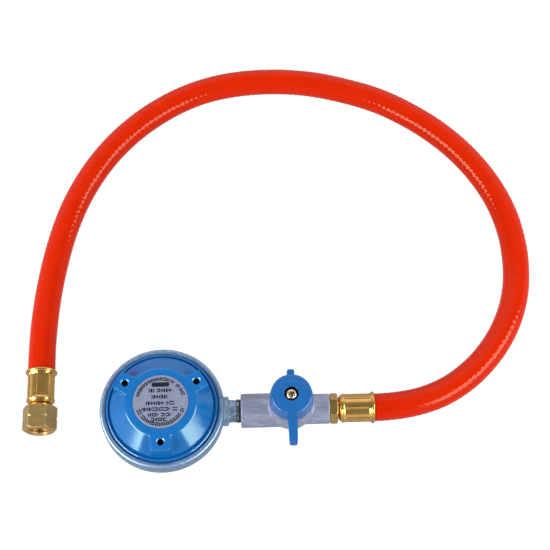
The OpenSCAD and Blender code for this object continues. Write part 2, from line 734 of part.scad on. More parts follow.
module tap_body() {
    in_r = barrel_in_d / 2;
    out_r = barrel_out_d / 2;
    chamfer = 0.5;
    foot_z = outlet_z + drum_foot;
    foot_r = plug_r + 1.8;
    floor_low_z = plug_low_z - plug_floor + 0.4;
    color("darkgray") difference() {
        union() {
            at_outlet(tap_in_x) rotate_extrude() polygon([
                [0, 0], [in_r - chamfer, 0], [in_r, chamfer], [in_r, barrel_in_len],
                [0, barrel_in_len]]);
            at_outlet(handle_x) rotate_extrude() polygon([
                [0, 0], [out_r, 0], [out_r, barrel_out_len - chamfer],
                [out_r - chamfer, barrel_out_len], [0, barrel_out_len]]);
            translate([handle_x, 0, 0]) rotate_extrude() polygon([
                [0, floor_low_z], [foot_r - 1, floor_low_z], [foot_r, floor_low_z + 1],
                [foot_r, plug_low_z + 0.6], [drum_r - 0.9, foot_z - 0.6], [drum_r, foot_z + 0.6],
                [drum_r, drum_top_z - chamfer], [drum_r - chamfer, drum_top_z], [0, drum_top_z]]);
        }
        at_outlet(tap_in_x - 1) cylinder(d = spigot_tail_d + 2 * fixed_fit, h = spigot_tail_len + 1);
        at_outlet(tap_in_x) cylinder(d = gas_way_d, h = barrel_in_len + barrel_out_len);
        at_outlet(tap_out_x - stub_len - 0.5) cylinder(d = stub_d + 2 * fixed_fit, h = stub_len + 1);
        translate([handle_x, 0, plug_low_z]) cylinder(r = plug_r, h = drum_top_z - plug_low_z + 1);
        translate([handle_x, 0, clip_z - fixed_fit])
            cylinder(r = clip_groove_r + fixed_fit, h = clip_t + 2 * fixed_fit);
        translate([handle_x, 0, drum_top_z - track_depth])
            ring_sector(lug_in_r - free_gap, lug_out_r + free_gap, track_depth + 1,
                -90 - lug_half_angle - lug_slack, -90 + handle_turn + lug_half_angle + lug_slack);
    }
}

module tap_plug() {
    seal_r = plug_r - oring_gap - oring_w;
    chamfer = 0.4;
    low_z = plug_low_z + free_gap;
    color("goldenrod") translate([handle_x, 0, 0]) difference() {
        union() {
            rotate_extrude() polygon(concat(
                [[0, low_z], [plug_side_r - chamfer, low_z], [plug_side_r, low_z + chamfer]],
                [for (z = groove_zs) each [
                    [plug_side_r, z], [seal_r, z], [seal_r, z + groove_h],
                    [plug_side_r, z + groove_h]]],
                [[plug_side_r, plug_top_z - chamfer], [plug_side_r - chamfer, plug_top_z],
                    [plug_neck_r, plug_top_z], [plug_neck_r, plug_neck_z], [0, plug_neck_z]]));
            translate([-square_w / 2, -square_w / 2, plug_top_z])
                cube([square_w, square_w, square_top_z - plug_top_z]);
        }
        translate([0, 0, outlet_z]) rotate([90, 0, 0])
            cylinder(d = gas_way_d - 0.6, h = plug_d + 1, center = true);
        translate([0, 0, square_top_z - screw_len - 1])
            cylinder(r = screw_d / 2 - 2 * fixed_fit, h = screw_len + 2);
    }
}

module plug_orings() {
    color("black") for (z = groove_zs)
        translate([handle_x, 0, z + groove_h / 2]) rotate_extrude()
            translate([plug_r - oring_gap - oring_w / 2, 0]) circle(oring_w / 2);
}

// Open retaining clip with two lugs
module plug_clip() {
    mouth_w = 3.2;
    lug_angle = 20;
    color("dimgray") translate([handle_x, 0, clip_z]) linear_extrude(clip_t) difference() {
        union() {
            difference() {
                circle(clip_groove_r);
                circle(plug_r - 0.6);
                translate([-mouth_w / 2, 0]) square([mouth_w, plug_d]);
            }
            for (side = [-1, 1])
                rotate(90 + side * lug_angle) translate([plug_r - 0.9, 0]) circle(1.2);
        }
        for (side = [-1, 1])
            rotate(90 + side * lug_angle) translate([plug_r - 0.9, 0]) circle(0.5);
    }
}

// Lever of the handle: side outline cut to a tapering plan
module handle_lever() {
    top = handle_top_z;
    low = handle_top_z - lever_depth;
    end = -lever_reach;
    root = -square_w;
    nose_r = 1.2;
    crown_r = 3.4;
    corner_r = 0.8;
    intersection() {
        rotate([90, 0, 90]) linear_extrude(2 * lever_root_w, center = true)
            polygon(concat(
                [[root, top], [root, low], [end + 2 * nose_r, low - nose_r / 2]],
                arc(end + nose_r, low + corner_r, nose_r, 250, 180, 3),
                arc(end + crown_r + 0.6, top - crown_r - nose_r, crown_r, 165, 90, 5),
                [[end + 12, top - 0.25]]));
        linear_extrude(handle_top_z + 1)
            polygon(concat(
                [[lever_root_w / 2, root], [-lever_root_w / 2, root]],
                arc(corner_r - lever_end_w / 2, end + corner_r, corner_r, 180, 270, 4),
                arc(lever_end_w / 2 - corner_r, end + corner_r, corner_r, 270, 360, 4)));
    }
}

module tap_handle() {
    base_r = handle_base_d / 2;
    top_r = handle_top_d / 2;
    hub_r = plug_neck_r + 1;
    skirt_in_r = base_r - handle_wall;
    crown_in_r = top_r - handle_wall;
    crown_z = recess_z - 2;
    edge_r = 0.7;
    tab_h = 3.6;
    rib_t = 1.2;
    mark_r = 7;
    mark_w = 0.5;
    mark_depth = 0.25;
    color("royalblue") translate([handle_x, 0, 0]) difference() {
        union() {
            difference() {
                union() {
                    rotate_extrude() polygon(concat(
                        [[0, handle_z], [base_r, handle_z], [base_r, handle_z + 0.8]],
                        arc(top_r - edge_r, handle_top_z - edge_r, edge_r, 15, 90, 4),
                        [[0, handle_top_z]]));
                    handle_lever();
                    translate([-tab_w / 2, 0, handle_z]) cube([tab_w, tab_reach, tab_h]);
                }
                rotate_extrude() polygon([
                    [hub_r, handle_z - 1], [skirt_in_r, handle_z - 1], [crown_in_r, crown_z],
                    [hub_r, crown_z]]);
            }
            for (i = [0 : 3]) rotate(45 + 90 * i)
                translate([hub_r - 0.5, -rib_t / 2, handle_z + rib_t / 2])
                    cube([crown_in_r - hub_r + 0.8, rib_t, handle_h - 3]);
            translate([0, 0, drum_top_z - lug_depth])
                ring_sector(lug_in_r, lug_out_r, recess_z - 1 - drum_top_z + lug_depth,
                    -90 - lug_half_angle, -90 + lug_half_angle);
            translate([0, 0, handle_top_z - eps])
                ring_sector(mark_r - mark_w / 2, mark_r + mark_w / 2, mark_depth, 35, 145);
        }
        translate([0, 0, recess_z]) cylinder(d = recess_d, h = recess_depth + 1);
        translate([0, 0, handle_z - 1]) cylinder(d = screw_d + washer_slack, h = handle_h);
        translate([-square_w / 2 - fixed_fit, -square_w / 2 - fixed_fit, handle_z - 1])
            cube([square_w + 2 * fixed_fit, square_w + 2 * fixed_fit,
                square_top_z - handle_z + 1 + fixed_fit]);
        translate([-mark_w / 2, rib_t - top_r, handle_top_z - mark_depth])
            cube([mark_w, top_r - rib_t, 1]);
    }
}

module handle_washer() {
    color("silver") translate([handle_x, 0, recess_z]) difference() {
        cylinder(r = recess_d / 2 - free_gap, h = washer_t);
        translate([0, 0, -1]) cylinder(d = screw_d + washer_slack, h = washer_t + 2);
    }
}

// Cross-head screw
module handle_screw() {
    head_z = recess_z + washer_t;
    head_top_z = head_z + screw_head_h;
    head_r = screw_head_d / 2;
    shank_r = screw_d / 2 - 2 * fixed_fit - turning_fit;
    edge_r = 1.1;
    cross_w = 0.8;
    cross_turn = 20;
    cross_depth = 1.1;
    color("khaki") translate([handle_x, 0, 0]) difference() {
        rotate_extrude() polygon(concat(
            [[0, square_top_z - screw_len], [shank_r, square_top_z - screw_len],
                [shank_r, head_z], [head_r, head_z], [head_r, head_z + 0.5]],
            arc(head_r - edge_r, head_top_z - edge_r - 0.1, edge_r, 10, 80, 4),
            [[0, head_top_z]]));
        for (turn = [0, 90]) rotate(turn + cross_turn)
            translate([-head_r * 0.55, -cross_w / 2, head_top_z - cross_depth])
                cube([head_r * 1.1, cross_w, 2]);
        translate([0, 0, head_top_z - 1.3]) cylinder(d1 = 1, d2 = 2, h = 1.4);
    }
}

// Barbed tail along +Z from z = 0
module tail_form() {
    step = tail_len / barb_count;
    root_r = barb_root_d / 2;
    crest_r = barb_d / 2;
    rotate_extrude() polygon(concat(
        [[0, -eps]],
        [for (i = [0 : barb_count - 1]) each [
            [root_r, i * step], [crest_r, i * step + 0.3], [crest_r, i * step + 0.9],
            [root_r, (i + 1) * step - 0.2]]],
        [[root_r, tail_len], [0, tail_len]]));
}

// Hexagonal bar with both ends turned down to a face of radius face_r
module chamfered_hex(af, len, face_r, chamfer) {
    corner_r = af / sqrt(3);
    intersection() {
        cylinder(r = corner_r, h = len, $fn = 6);
        rotate_extrude() polygon([
            [0, 0], [face_r, 0], [corner_r + 0.2, chamfer], [corner_r + 0.2, len - chamfer],
            [face_r, len], [0, len]]);
    }
}

module outlet_fitting() {
    tail_z = ferrule_stand + ferrule_wall_t + fixed_fit;
    color("goldenrod") at_outlet(tap_out_x) difference() {
        union() {
            translate([0, 0, -stub_len]) cylinder(d = stub_d, h = stub_len + eps);
            rotate([0, 0, collar_turn])
                chamfered_hex(collar_af, collar_len, collar_af / 2 - 0.2, 0.5);
            cylinder(d = neck_d, h = tail_z);
            translate([0, 0, tail_z]) tail_form();
        }
        translate([0, 0, -stub_len - 1])
            cylinder(d = fitting_bore_d, h = stub_len + tail_z + tail_len + 2);
    }
}

// Crimped ferrule along +Z from its closed end
module ferrule_form() {
    r = ferrule_d / 2;
    in_r = crimped_d / 2 + turning_fit;
    shoulder_r = 1.8;
    crimp_z = 3.2;
    lip_z = ferrule_len - ferrule_lip_len;
    bead_z = ferrule_lip_len - ferrule_bead_r;
    flare_len = 4;
    mouth_len = 1;
    mouth_r = hose_d / 2 + hose_slack;
    difference() {
        union() {
            intersection() {
                rotate_extrude() polygon(concat(
                    [[0, 0]], arc(r - shoulder_r, shoulder_r, shoulder_r, -90, 0, 5),
                    [[r, ferrule_len - mouth_len], [0, ferrule_len - mouth_len]]));
                union() {
                    cylinder(r = r + 1, h = crimp_z);
                    translate([0, 0, crimp_z - eps]) rotate([0, 0, 180 / crimp_sides])
                        cylinder(r = crimp_af / 2 / cos(180 / crimp_sides), h = lip_z - crimp_z,
                            $fn = crimp_sides);
                    translate([0, 0, lip_z - 0.6]) cylinder(r = r + 1, h = ferrule_lip_len);
                }
            }
            translate([0, 0, lip_z]) rotate_extrude() polygon(concat(
                [[0, 0], [r, 0], [r + 0.25, 0.6]],
                arc(ferrule_lip_d / 2 - ferrule_bead_r, bead_z, ferrule_bead_r, -30, 90, 6),
                [[0, ferrule_lip_len]]));
        }
        translate([0, 0, -1]) cylinder(d = neck_d + 2 * fixed_fit, h = ferrule_wall_t + 2);
        translate([0, 0, ferrule_wall_t]) cylinder(r = in_r, h = ferrule_len);
        translate([0, 0, ferrule_len - mouth_len - flare_len])
            cylinder(r1 = in_r, r2 = mouth_r, h = flare_len);
        translate([0, 0, ferrule_len - mouth_len - eps]) cylinder(r = mouth_r, h = mouth_len + 1);
    }
}

module outlet_ferrule() {
    color("gold") at_outlet(tap_out_x + ferrule_stand) ferrule_form();
}

// Hose: outer wall and bore swept along the route, joined at both ends
module hose() {
    rings = len(hose_route);
    n = hose_sides;
    inner = rings * n;
    last = (rings - 1) * n;
    function outer_r(i) =
        (i < gripped_rings || i >= rings - gripped_rings ? crimped_d : hose_d) / 2;
    outer_points = [for (i = [0 : rings - 1]) each ring_at(hose_route, i, outer_r(i), n)];
    bore_points = [for (i = [0 : rings - 1]) each ring_at(hose_route, i, hose_bore_d / 2, n)];
    color("orangered") polyhedron(
        points = concat(outer_points, bore_points),
        faces = triangles(concat(
            [for (i = [0 : rings - 2]) each band(i * n, (i + 1) * n, n)],
            [for (i = [0 : rings - 2]) each band(inner + (i + 1) * n, inner + i * n, n)],
            band(inner, 0, n),
            band(last, inner + last, n))));
}

module end_ferrule() {
    color("gold") at_end() translate([0, 0, nut_len + nut_ferrule_gap]) ferrule_form();
}

// Tail with the collar that the swivel nut draws home
module end_tail() {
    collar_top = nut_len - nut_back - free_gap;
    tail_z = nut_len + nut_ferrule_gap + ferrule_wall_t + fixed_fit;
    seat_r = 1.5;
    collar_z = seat_cone_z + seat_r;
    color("goldenrod") at_end() difference() {
        union() {
            rotate_extrude() polygon(concat(
                [[0, seat_cone_z]], arc(neck_d / 2 - 1.8, collar_z, seat_r, -90, 0, 5),
                [[nut_collar_d / 2, collar_z], [nut_collar_d / 2, collar_top],
                    [neck_d / 2, collar_top], [neck_d / 2, tail_z], [0, tail_z]]));
            translate([0, 0, tail_z]) tail_form();
        }
        cylinder(d = fitting_bore_d - 1, h = tail_z + tail_len + 1);
    }
}

module swivel_nut() {
    corner_r = nut_af / sqrt(3);
    face_r = nut_chamber_d / 2 + 1.2;
    chamfer = 1.6;
    color("goldenrod") at_end() difference() {
        chamfered_hex(nut_af, nut_len, face_r, chamfer);
        translate([0, 0, -eps]) cylinder(d = nut_thread_d, h = nut_thread_len + 2 * eps);
        translate([0, 0, nut_thread_len])
            cylinder(d = nut_chamber_d, h = nut_len - nut_back - nut_thread_len);
        cylinder(d = neck_d + 2 * turning_fit, h = nut_len + 1);
        translate([0, 0, nut_len / 2]) rotate_extrude() polygon([
            [corner_r - notch_depth, 0], [corner_r + 0.5, -notch_depth - 0.5],
            [corner_r + 0.5, notch_depth + 0.5]]);
    }
}

regulator_body();
regulator_cover();
rating_disc();
diaphragm();
diaphragm_plate();
diaphragm_stem();
main_spring();
valve_lever();
lever_pin();
valve_pad();
inlet_nozzle();
cartridge_probe();
cartridge_seal();
spigot_lock_ring();
outlet_seal();
tap_body();
tap_plug();
plug_orings();
plug_clip();
tap_handle();
handle_washer();
handle_screw();
outlet_fitting();
outlet_ferrule();
hose();
end_ferrule();
end_tail();
swivel_nut();
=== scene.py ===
"""Looks of the gas regulator, tap, hose and swivel nut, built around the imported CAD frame."""
import json
import math
import random

import bmesh
import bpy
import numpy as np
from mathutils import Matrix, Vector, noise


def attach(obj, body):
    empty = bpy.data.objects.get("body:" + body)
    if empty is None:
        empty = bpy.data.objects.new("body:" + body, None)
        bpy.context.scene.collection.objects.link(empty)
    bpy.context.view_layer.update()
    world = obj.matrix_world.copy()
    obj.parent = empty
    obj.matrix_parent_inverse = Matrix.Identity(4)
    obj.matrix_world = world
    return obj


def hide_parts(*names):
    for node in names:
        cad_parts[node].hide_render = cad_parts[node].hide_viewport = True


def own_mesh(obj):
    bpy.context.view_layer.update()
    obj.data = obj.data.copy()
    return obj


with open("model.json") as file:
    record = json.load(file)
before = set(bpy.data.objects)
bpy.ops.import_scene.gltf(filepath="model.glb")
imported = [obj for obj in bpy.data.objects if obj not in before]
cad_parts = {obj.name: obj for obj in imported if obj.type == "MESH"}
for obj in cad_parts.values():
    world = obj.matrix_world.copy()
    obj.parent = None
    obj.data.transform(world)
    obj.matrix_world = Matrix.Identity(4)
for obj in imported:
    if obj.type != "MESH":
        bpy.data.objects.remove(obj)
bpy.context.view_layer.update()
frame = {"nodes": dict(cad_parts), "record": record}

MM = 0.001
bodies = frame["record"]["behaviour"]["bodies"]
node_body = {n: b for b, nodes in bodies.items() for n in nodes}

# The CAD's sizes, in millimetres
OUTLET_Z = 18
RIM_R, RIM_LOW, RIM_TOP, LIP_R, LIP_IN_R = 34.5, 18.4, 28.4, 1.8, 30.9
BOWL_R, CHAMBER_R, LEDGE_Z, SEAT_Z = 31.5, 29.0, 25.2, 27.2
COVER_R, FLANGE_R, COVER_TOP = 30.8, 32.2, 39.0
DISC_TOP = COVER_TOP + 0.3
HANDLE_X, HANDLE_TOP = 71.4, 46.9
TAP_OUT_X = 92.9
TRAVEL, LEVER_ARM = 1.1, 11.5
END = (-70, -6.8, 10.8)
NUT_TURN, COLLAR_TURN = 57, 40
# Directions of the cover's three pads
PADS = [(math.cos(math.radians(-90 + 120 * i)), math.sin(math.radians(-90 + 120 * i)))
        for i in range(3)]


# ---------------------------------------------------------------- camera

def look(obj, place, target):
    """Puts a camera or lamp at a place, facing a target, both in metres."""
    obj.location = place
    obj.rotation_mode = "QUATERNION"
    way = Vector(target) - Vector(place)
    obj.rotation_quaternion = way.to_track_quat("-Z", "Y")
    bpy.context.scene.collection.objects.link(obj)
    return obj


def make_camera():
    place, target, view_angle = (0.05564, -0.23682, 0.76948), (0.06505, 0.08967, 0), 22.185
    data = bpy.data.cameras.new("camera")
    data.sensor_width = 36
    data.angle = math.radians(view_angle)
    data.clip_start, data.clip_end = 0.02, 20
    bpy.context.scene.camera = look(bpy.data.objects.new("camera", data), place, target)


make_camera()


# ---------------------------------------------------------------- shaders

def srgb(r, g, b):
    """Linear colour from 0-255 display values."""
    def line(c):
        c /= 255
        return c / 12.92 if c <= 0.04045 else ((c + 0.055) / 1.055) ** 2.4
    return (line(r), line(g), line(b), 1)


def shade(colour, share):
    """A colour made darker or lighter by a share."""
    return tuple(min(1, c * share) for c in colour[:3]) + (1,)


def put(tree, socket, value):
    """Links a socket to another one, or sets its value."""
    if isinstance(value, bpy.types.NodeSocket):
        tree.links.new(value, socket)
    else:
        socket.default_value = value


def maths(tree, kind, a, b):
    """The result of a Math node on two sockets or numbers."""
    made = tree.nodes.new("ShaderNodeMath")
    made.operation = kind
    put(tree, made.inputs[0], a)
    put(tree, made.inputs[1], b)
    return made.outputs[0]


class Shader:
    """A node material with one Principled shader, textured in object space in millimetres."""

    def __init__(self, name, **constant):
        self.material = bpy.data.materials.new(name)
        self.material.use_nodes = True
        self.tree = self.material.node_tree
        self.shader = self.tree.nodes["Principled BSDF"]
        for socket, value in constant.items():
            self.shader.inputs[socket.replace("_", " ")].default_value = value
        self.place = self.node("ShaderNodeTexCoord").outputs["Object"]
        self.normal = None

    def node(self, kind, **inputs):
        made = self.tree.nodes.new(kind)
        for socket, value in inputs.items():
            self.put(made.inputs[socket.replace("_", " ")], value)
        return made

    def put(self, socket, value):
        put(self.tree, socket, value)

    def scaled(self, per_mm, stretch=(1, 1, 1), place=None):
        """Texture place, with per_mm repeats in a millimetre."""
        made = self.node("ShaderNodeMapping")
        self.put(made.inputs["Vector"], place or self.place)
        made.inputs["Scale"].default_value = [per_mm / MM * s for s in stretch]
        return made.outputs["Vector"]

    def noise(self, per_mm, detail=4, rough=0.55, stretch=(1, 1, 1), place=None):
        made = self.node("ShaderNodeTexNoise", Scale=1.0, Detail=float(detail), Roughness=rough,
                         Vector=self.scaled(per_mm, stretch, place))
        return made.outputs["Fac"]

    def spots(self, per_mm):
        made = self.node("ShaderNodeTexVoronoi", Scale=1.0, Vector=self.scaled(per_mm))
        return made.outputs["Distance"]

    def span(self, value, low, high, to_low=0.0, to_high=1.0):
        """A value's place between low and high, as one between to_low and to_high."""
        made = self.node("ShaderNodeMapRange")
        made.clamp = True
        for socket, v in zip(("Value", "From Min", "From Max", "To Min", "To Max"),
                             (value, low, high, to_low, to_high)):
            self.put(made.inputs[socket], v)
        return made.outputs["Result"]

    def wander(self, per_mm, detail, low=0.0, high=1.0):
        """Noise that wanders from low to high."""
        return self.span(self.noise(per_mm, detail), 0.3, 0.7, low, high)

    def times(self, a, b):
        return maths(self.tree, "MULTIPLY", a, b)

    def mix(self, share, a, b):
        made = self.node("ShaderNodeMix")
        made.data_type = "RGBA"
        self.put(made.inputs["Factor"], share)
        self.put(made.inputs[6], a)
        self.put(made.inputs[7], b)
        return made.outputs[2]

    def colour(self, value):
        self.put(self.shader.inputs["Base Color"], value)

    def rough(self, value):
        self.put(self.shader.inputs["Roughness"], value)

    def bump(self, height, depth_mm):
        """Adds relief on top of what is there already."""
        made = self.node("ShaderNodeBump", Strength=1.0, Distance=depth_mm * MM, Height=height)
        if self.normal:
            self.put(made.inputs["Normal"], self.normal)
        self.normal = made.outputs["Normal"]
        self.put(self.shader.inputs["Normal"], self.normal)

    def edges(self, low=0.52, high=0.6):
        """1 on outside edges, for worn edges on bare metal and castings and for the painted
        highlight on the cover's edges.
        """
        return self.span(self.node("ShaderNodeNewGeometry").outputs["Pointiness"], low, high)

    def round_z(self, x=0.0):
        """Place as (radius, height, 0) about the vertical axis at x, for turned marks."""
        moved = self.node("ShaderNodeVectorMath")
        moved.operation = "SUBTRACT"
        self.put(moved.inputs[0], self.place)
        moved.inputs[1].default_value = (x * MM, 0, 0)
        split = self.node("ShaderNodeSeparateXYZ", Vector=moved.outputs[0])
        flat = self.node("ShaderNodeCombineXYZ", X=split.outputs[0], Y=split.outputs[1])
        length = self.node("ShaderNodeVectorMath")
        length.operation = "LENGTH"
        self.put(length.inputs[0], flat.outputs[0])
        joined = self.node("ShaderNodeCombineXYZ", X=length.outputs["Value"], Y=split.outputs[2])
        return joined.outputs[0]


def metal(name, colour, rough, grain, depth, vary=0.12, wear=1.25):
    """Bare metal: blotches of tone, fine grain and brighter worn edges."""
    s = Shader(name, Metallic=1.0)
    base = s.mix(s.wander(0.25, 5), shade(colour, 1 - vary), shade(colour, 1 + vary))
    s.colour(s.mix(s.times(s.edges(), 0.6), base, shade(colour, wear)))
    s.rough(s.wander(grain / 3, 5, rough * 0.8, rough * 1.25))
    s.bump(s.noise(grain, 5), depth)
    return s


def make_materials():
    made = {}
    # Hose: glossy orange-red rubber
    red = srgb(179, 28, 0)
    s = Shader("hose_rubber", IOR=1.26, Specular_Tint=(0.85, 0.92, 0.66, 1))
    s.colour(s.mix(s.wander(0.12, 4), shade(red, 0.95), shade(red, 1.04)))
    s.rough(s.wander(0.8, 5, 0.06, 0.11))
    s.bump(s.noise(3.5, 4), 0.012)
    made["hose"] = s
    # Cover: gloss sky-blue paint with slight orange peel, and a painted highlight of lighter blue
    # on its outside edges
    blue = srgb(12, 88, 153)
    s = Shader("cover_paint", IOR=1.53, Specular_Tint=(0.72, 1, 0.86, 1))
    tone = s.mix(s.wander(0.09, 4), shade(blue, 0.95), shade(blue, 1.06))
    s.colour(s.mix(s.times(s.edges(0.54, 0.64), 0.35), tone, srgb(70, 160, 220)))
    s.rough(s.wander(1.1, 4, 0.11, 0.16))
    s.bump(s.noise(0.45, 3), 0.012)
    made["paint"] = s
    # Rating disc: matt printed foil, and its marks
    foil = srgb(128, 133, 158)
    s = Shader("disc_foil", Metallic=0.35, IOR=1.45)
    s.colour(s.mix(s.span(s.noise(1.9, 6), 0.32, 0.68), shade(foil, 0.7), shade(foil, 1.16)))
    s.rough(s.wander(3.0, 5, 0.42, 0.58))
    s.bump(s.noise(5.0, 4), 0.008)
    made["foil"] = s
    ink = srgb(6, 7, 14)
    s = Shader("disc_print", IOR=1.3)
    s.colour(s.mix(s.span(s.noise(2.5, 5), 0.35, 0.65), ink, srgb(22, 25, 40)))
    s.rough(s.wander(3.0, 4, 0.5, 0.65))
    s.bump(s.noise(6.0, 3), 0.004)
    made["ink"] = s
    # Rim: turned and polished zinc
    steel = srgb(132, 158, 192)
    s = Shader("rim_metal", Metallic=0.8, Anisotropic=0.35)
    lines = s.noise(7, 3, place=s.round_z())
    cloud = s.span(s.noise(0.5, 6, 0.65), 0.35, 0.65)
    s.colour(s.mix(cloud, shade(steel, 0.74), shade(steel, 1.12)))
    s.rough(s.span(lines, 0.3, 0.7, 0.34, 0.5))
    s.bump(lines, 0.006)
    s.bump(s.noise(1.2, 4), 0.008)
    made["rim"] = s
    # Castings: grainy zinc, bluer on the regulator and lilac on the tap
    for name, colour, depth, grit, long, matt in (
            ("regulator_casting", srgb(142, 168, 196), 0.28, 0.95, 0.8, 0.4),
            ("tap_casting", srgb(152, 156, 181), 0.07, 0.6, 0.2, 0.5)):
        s = Shader(name, Metallic=0.5)
        cloud = s.noise(0.34, 6, stretch=(long, 1, 1))
        tone = s.mix(s.span(cloud, 0.35, 0.65), shade(colour, 0.66), shade(colour, 1.1))
        fine = s.span(s.noise(1.0, 4, stretch=(long, 1, 1)), 0.42, 0.58, 0.0, grit)
        tone = s.mix(fine, tone, shade(colour, 0.62))
        pits = s.span(s.spots(0.32), 0.04, 0.12)
        tone = s.mix(pits, shade(colour, 0.45), tone)
        s.colour(s.mix(s.times(s.edges(), 0.5), tone, shade(colour, 1.3)))
        s.rough(s.wander(1.2, 5, matt, matt + 0.14))
        s.bump(s.noise(1.3, 6, 0.65), depth)
        s.bump(pits, 0.06)
        made[name] = s
    # Handle: satin moulded plastic, painted near black inside the screw's recess as painted shade
    blue = srgb(17, 82, 144)
    s = Shader("handle_plastic", IOR=1.5)
    tone = s.mix(s.wander(0.15, 4), shade(blue, 0.94), shade(blue, 1.06))
    split = s.node("ShaderNodeSeparateXYZ", Vector=s.round_z(HANDLE_X))
    s.colour(s.mix(s.span(split.outputs[0], 3.95 * MM, 4.05 * MM), srgb(8, 9, 12), tone))
    s.rough(s.wander(2.0, 5, 0.09, 0.14))
    s.bump(s.noise(5.0, 4), 0.005)
    made["plastic"] = s
    # Brass and steel pieces
    made["ferrule"] = metal("ferrule_brass", srgb(222, 176, 100), 0.2, 3, 0.003, 0.1, 1.2)
    made["nut"] = metal("nut_brass", srgb(204, 170, 112), 0.34, 5, 0.01, 0.1, 1.25)
    made["fitting"] = metal("fitting_brass", srgb(206, 168, 102), 0.24, 5, 0.006, 0.1, 1.35)
    made["plug"] = metal("plug_brass", srgb(206, 172, 98), 0.3, 5, 0.01)
    made["steel"] = metal("zinc_steel", srgb(176, 182, 190), 0.32, 5, 0.01)
    made["ring"] = metal("ring_steel", srgb(120, 136, 150), 0.36, 4, 0.015)
    made["spring"] = metal("spring_steel", srgb(110, 114, 120), 0.3, 6, 0.008)
    # Near-black steel for the plug's clip, and as painted shade on the handle's washer in the
    # screw's recess
    made["clip"] = metal("clip_steel", srgb(48, 49, 54), 0.35, 6, 0.008)
    # Screw: its cross recess painted brown, darkest at the bottom, as painted shade
    s = metal("screw_steel", srgb(214, 208, 190), 0.22, 5, 0.012)
    split = s.node("ShaderNodeSeparateXYZ", Vector=s.round_z(HANDLE_X))
    low = s.times(s.span(split.outputs[0], 1.5 * MM, 2.0 * MM, 1.0, 0.0),
                  s.span(split.outputs[1], 46.4 * MM, 46.65 * MM, 1.0, 0.35))
    s.colour(s.mix(low, srgb(240, 236, 226), srgb(150, 104, 22)))
    made["screw"] = s
    # Rubbers
    for name, colour in (("seal_rubber", srgb(26, 27, 30)),
                         ("diaphragm_rubber", srgb(46, 47, 50))):
        s = Shader(name, IOR=1.5)
        s.colour(s.mix(s.wander(0.5, 4), shade(colour, 0.8), shade(colour, 1.3)))
        s.rough(s.wander(2.0, 4, 0.45, 0.65))
        s.bump(s.noise(4.0, 4), 0.01)
        made[name] = s
    return made


mats = make_materials()


# ---------------------------------------------------------------- mesh tools

def quads(rows, cols, closed):
    """Quads over a grid that wraps in its columns, and in its rows too if closed."""
    i = np.arange(rows if closed else rows - 1)[:, None]
    j = np.arange(cols)[None, :]
    k, l = (i + 1) % rows, (j + 1) % cols
    return np.stack(np.broadcast_arrays(
        i * cols + j, i * cols + l, k * cols + l, k * cols + j), -1).reshape(-1, 4)


def mesh_of(name, points, faces, material, sharp=None):
    """An object from points in mm in the row frame, with outward faces and smooth shading."""
    mesh = bpy.data.meshes.new(name)
    mesh.from_pydata((np.asarray(points, float) * MM).tolist(), [],
                     faces.tolist() if isinstance(faces, np.ndarray) else faces)
    bm = bmesh.new()
    bm.from_mesh(mesh)
    bmesh.ops.remove_doubles(bm, verts=bm.verts, dist=1e-7)
    bmesh.ops.recalc_face_normals(bm, faces=bm.faces)
    bm.to_mesh(mesh)
    bm.free()
    return finished(name, mesh, material, sharp)


def finished(name, mesh, material, sharp=None):
    """An object with a mesh and a material, smooth but for edges over an angle in degrees."""
    mesh.shade_smooth()
    if sharp:
        mesh.set_sharp_from_angle(angle=math.radians(sharp))
    mesh.materials.clear()
    mesh.materials.append(mats[material].material)
    obj = bpy.data.objects.new(name, mesh)
    bpy.context.scene.collection.objects.link(obj)
    return obj


def modified(obj):
    """The mesh that an object's modifiers make."""
    graph = bpy.context.evaluated_depsgraph_get()
    return bpy.data.meshes.new_from_object(obj.evaluated_get(graph))


def stands(obj, node):
    """obj rides on its CAD node's body, in the node's place."""
    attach(obj, node_body[node])
    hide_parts(node)
    return obj


def part_of_body(obj):
    """obj rides on the regulator beside the pieces that stand for its nodes."""
    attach(obj, "regulator")


def outline(corners, step=14):
    """A closed outline from (r, z, fillet) corners, in order, with round corners."""
    made, n = [], len(corners)
    for i, (r, z, f) in enumerate(corners):
        p = np.array([r, z], float)
        a = np.array(corners[i - 1][:2], float) - p
        b = np.array(corners[(i + 1) % n][:2], float) - p
        la, lb = np.linalg.norm(a), np.linalg.norm(b)
        if f <= 0 or la < 1e-6 or lb < 1e-6:
            made.append(p)
            continue
        a, b = a / la, b / lb
        half = math.acos(max(-1, min(1, float(a @ b)))) / 2
        if half > math.pi / 2 - 0.02:
            made.append(p)
            continue
        d = min(f / math.tan(half), 0.48 * la, 0.48 * lb)
        radius = d * math.tan(half)
        middle = p + (a + b) / np.linalg.norm(a + b) * radius / math.sin(half)
        start, stop = p + a * d - middle, p + b * d - middle
        turn = math.pi - 2 * half
        steps = max(1, math.ceil(math.degrees(turn) / step))
        sign = 1 if start[0] * stop[1] - start[1] * stop[0] > 0 else -1
        for k in range(steps + 1):
            c, s = math.cos(sign * turn * k / steps), math.sin(sign * turn * k / steps)
            made.append(middle + np.array([c * start[0] - s * start[1],
                                           s * start[0] + c * start[1]]))
    return np.array(made)


def finer(points, most):
    """A closed outline with no side longer than most."""
    made = []
    for a, b in zip(points, np.roll(points, -1, 0)):
        n = max(1, math.ceil(np.linalg.norm(b - a) / most))
        made += [a + (b - a) * k / n for k in range(n)]
    return np.array(made)


def turned(points, n, radius=None):
    """Rings of n points about Z from an outline; radius(angle, r, z) may change each ring."""
    angle = np.linspace(0, 2 * math.pi, n, endpoint=False)
    r = np.repeat(points[:, :1], n, 1)
    z = np.repeat(points[:, 1:2], n, 1)
    if radius:
        r = radius(np.repeat(angle[None, :], len(points), 0), r, z)
    return np.stack([r * np.cos(angle), r * np.sin(angle), z], -1).reshape(-1, 3)


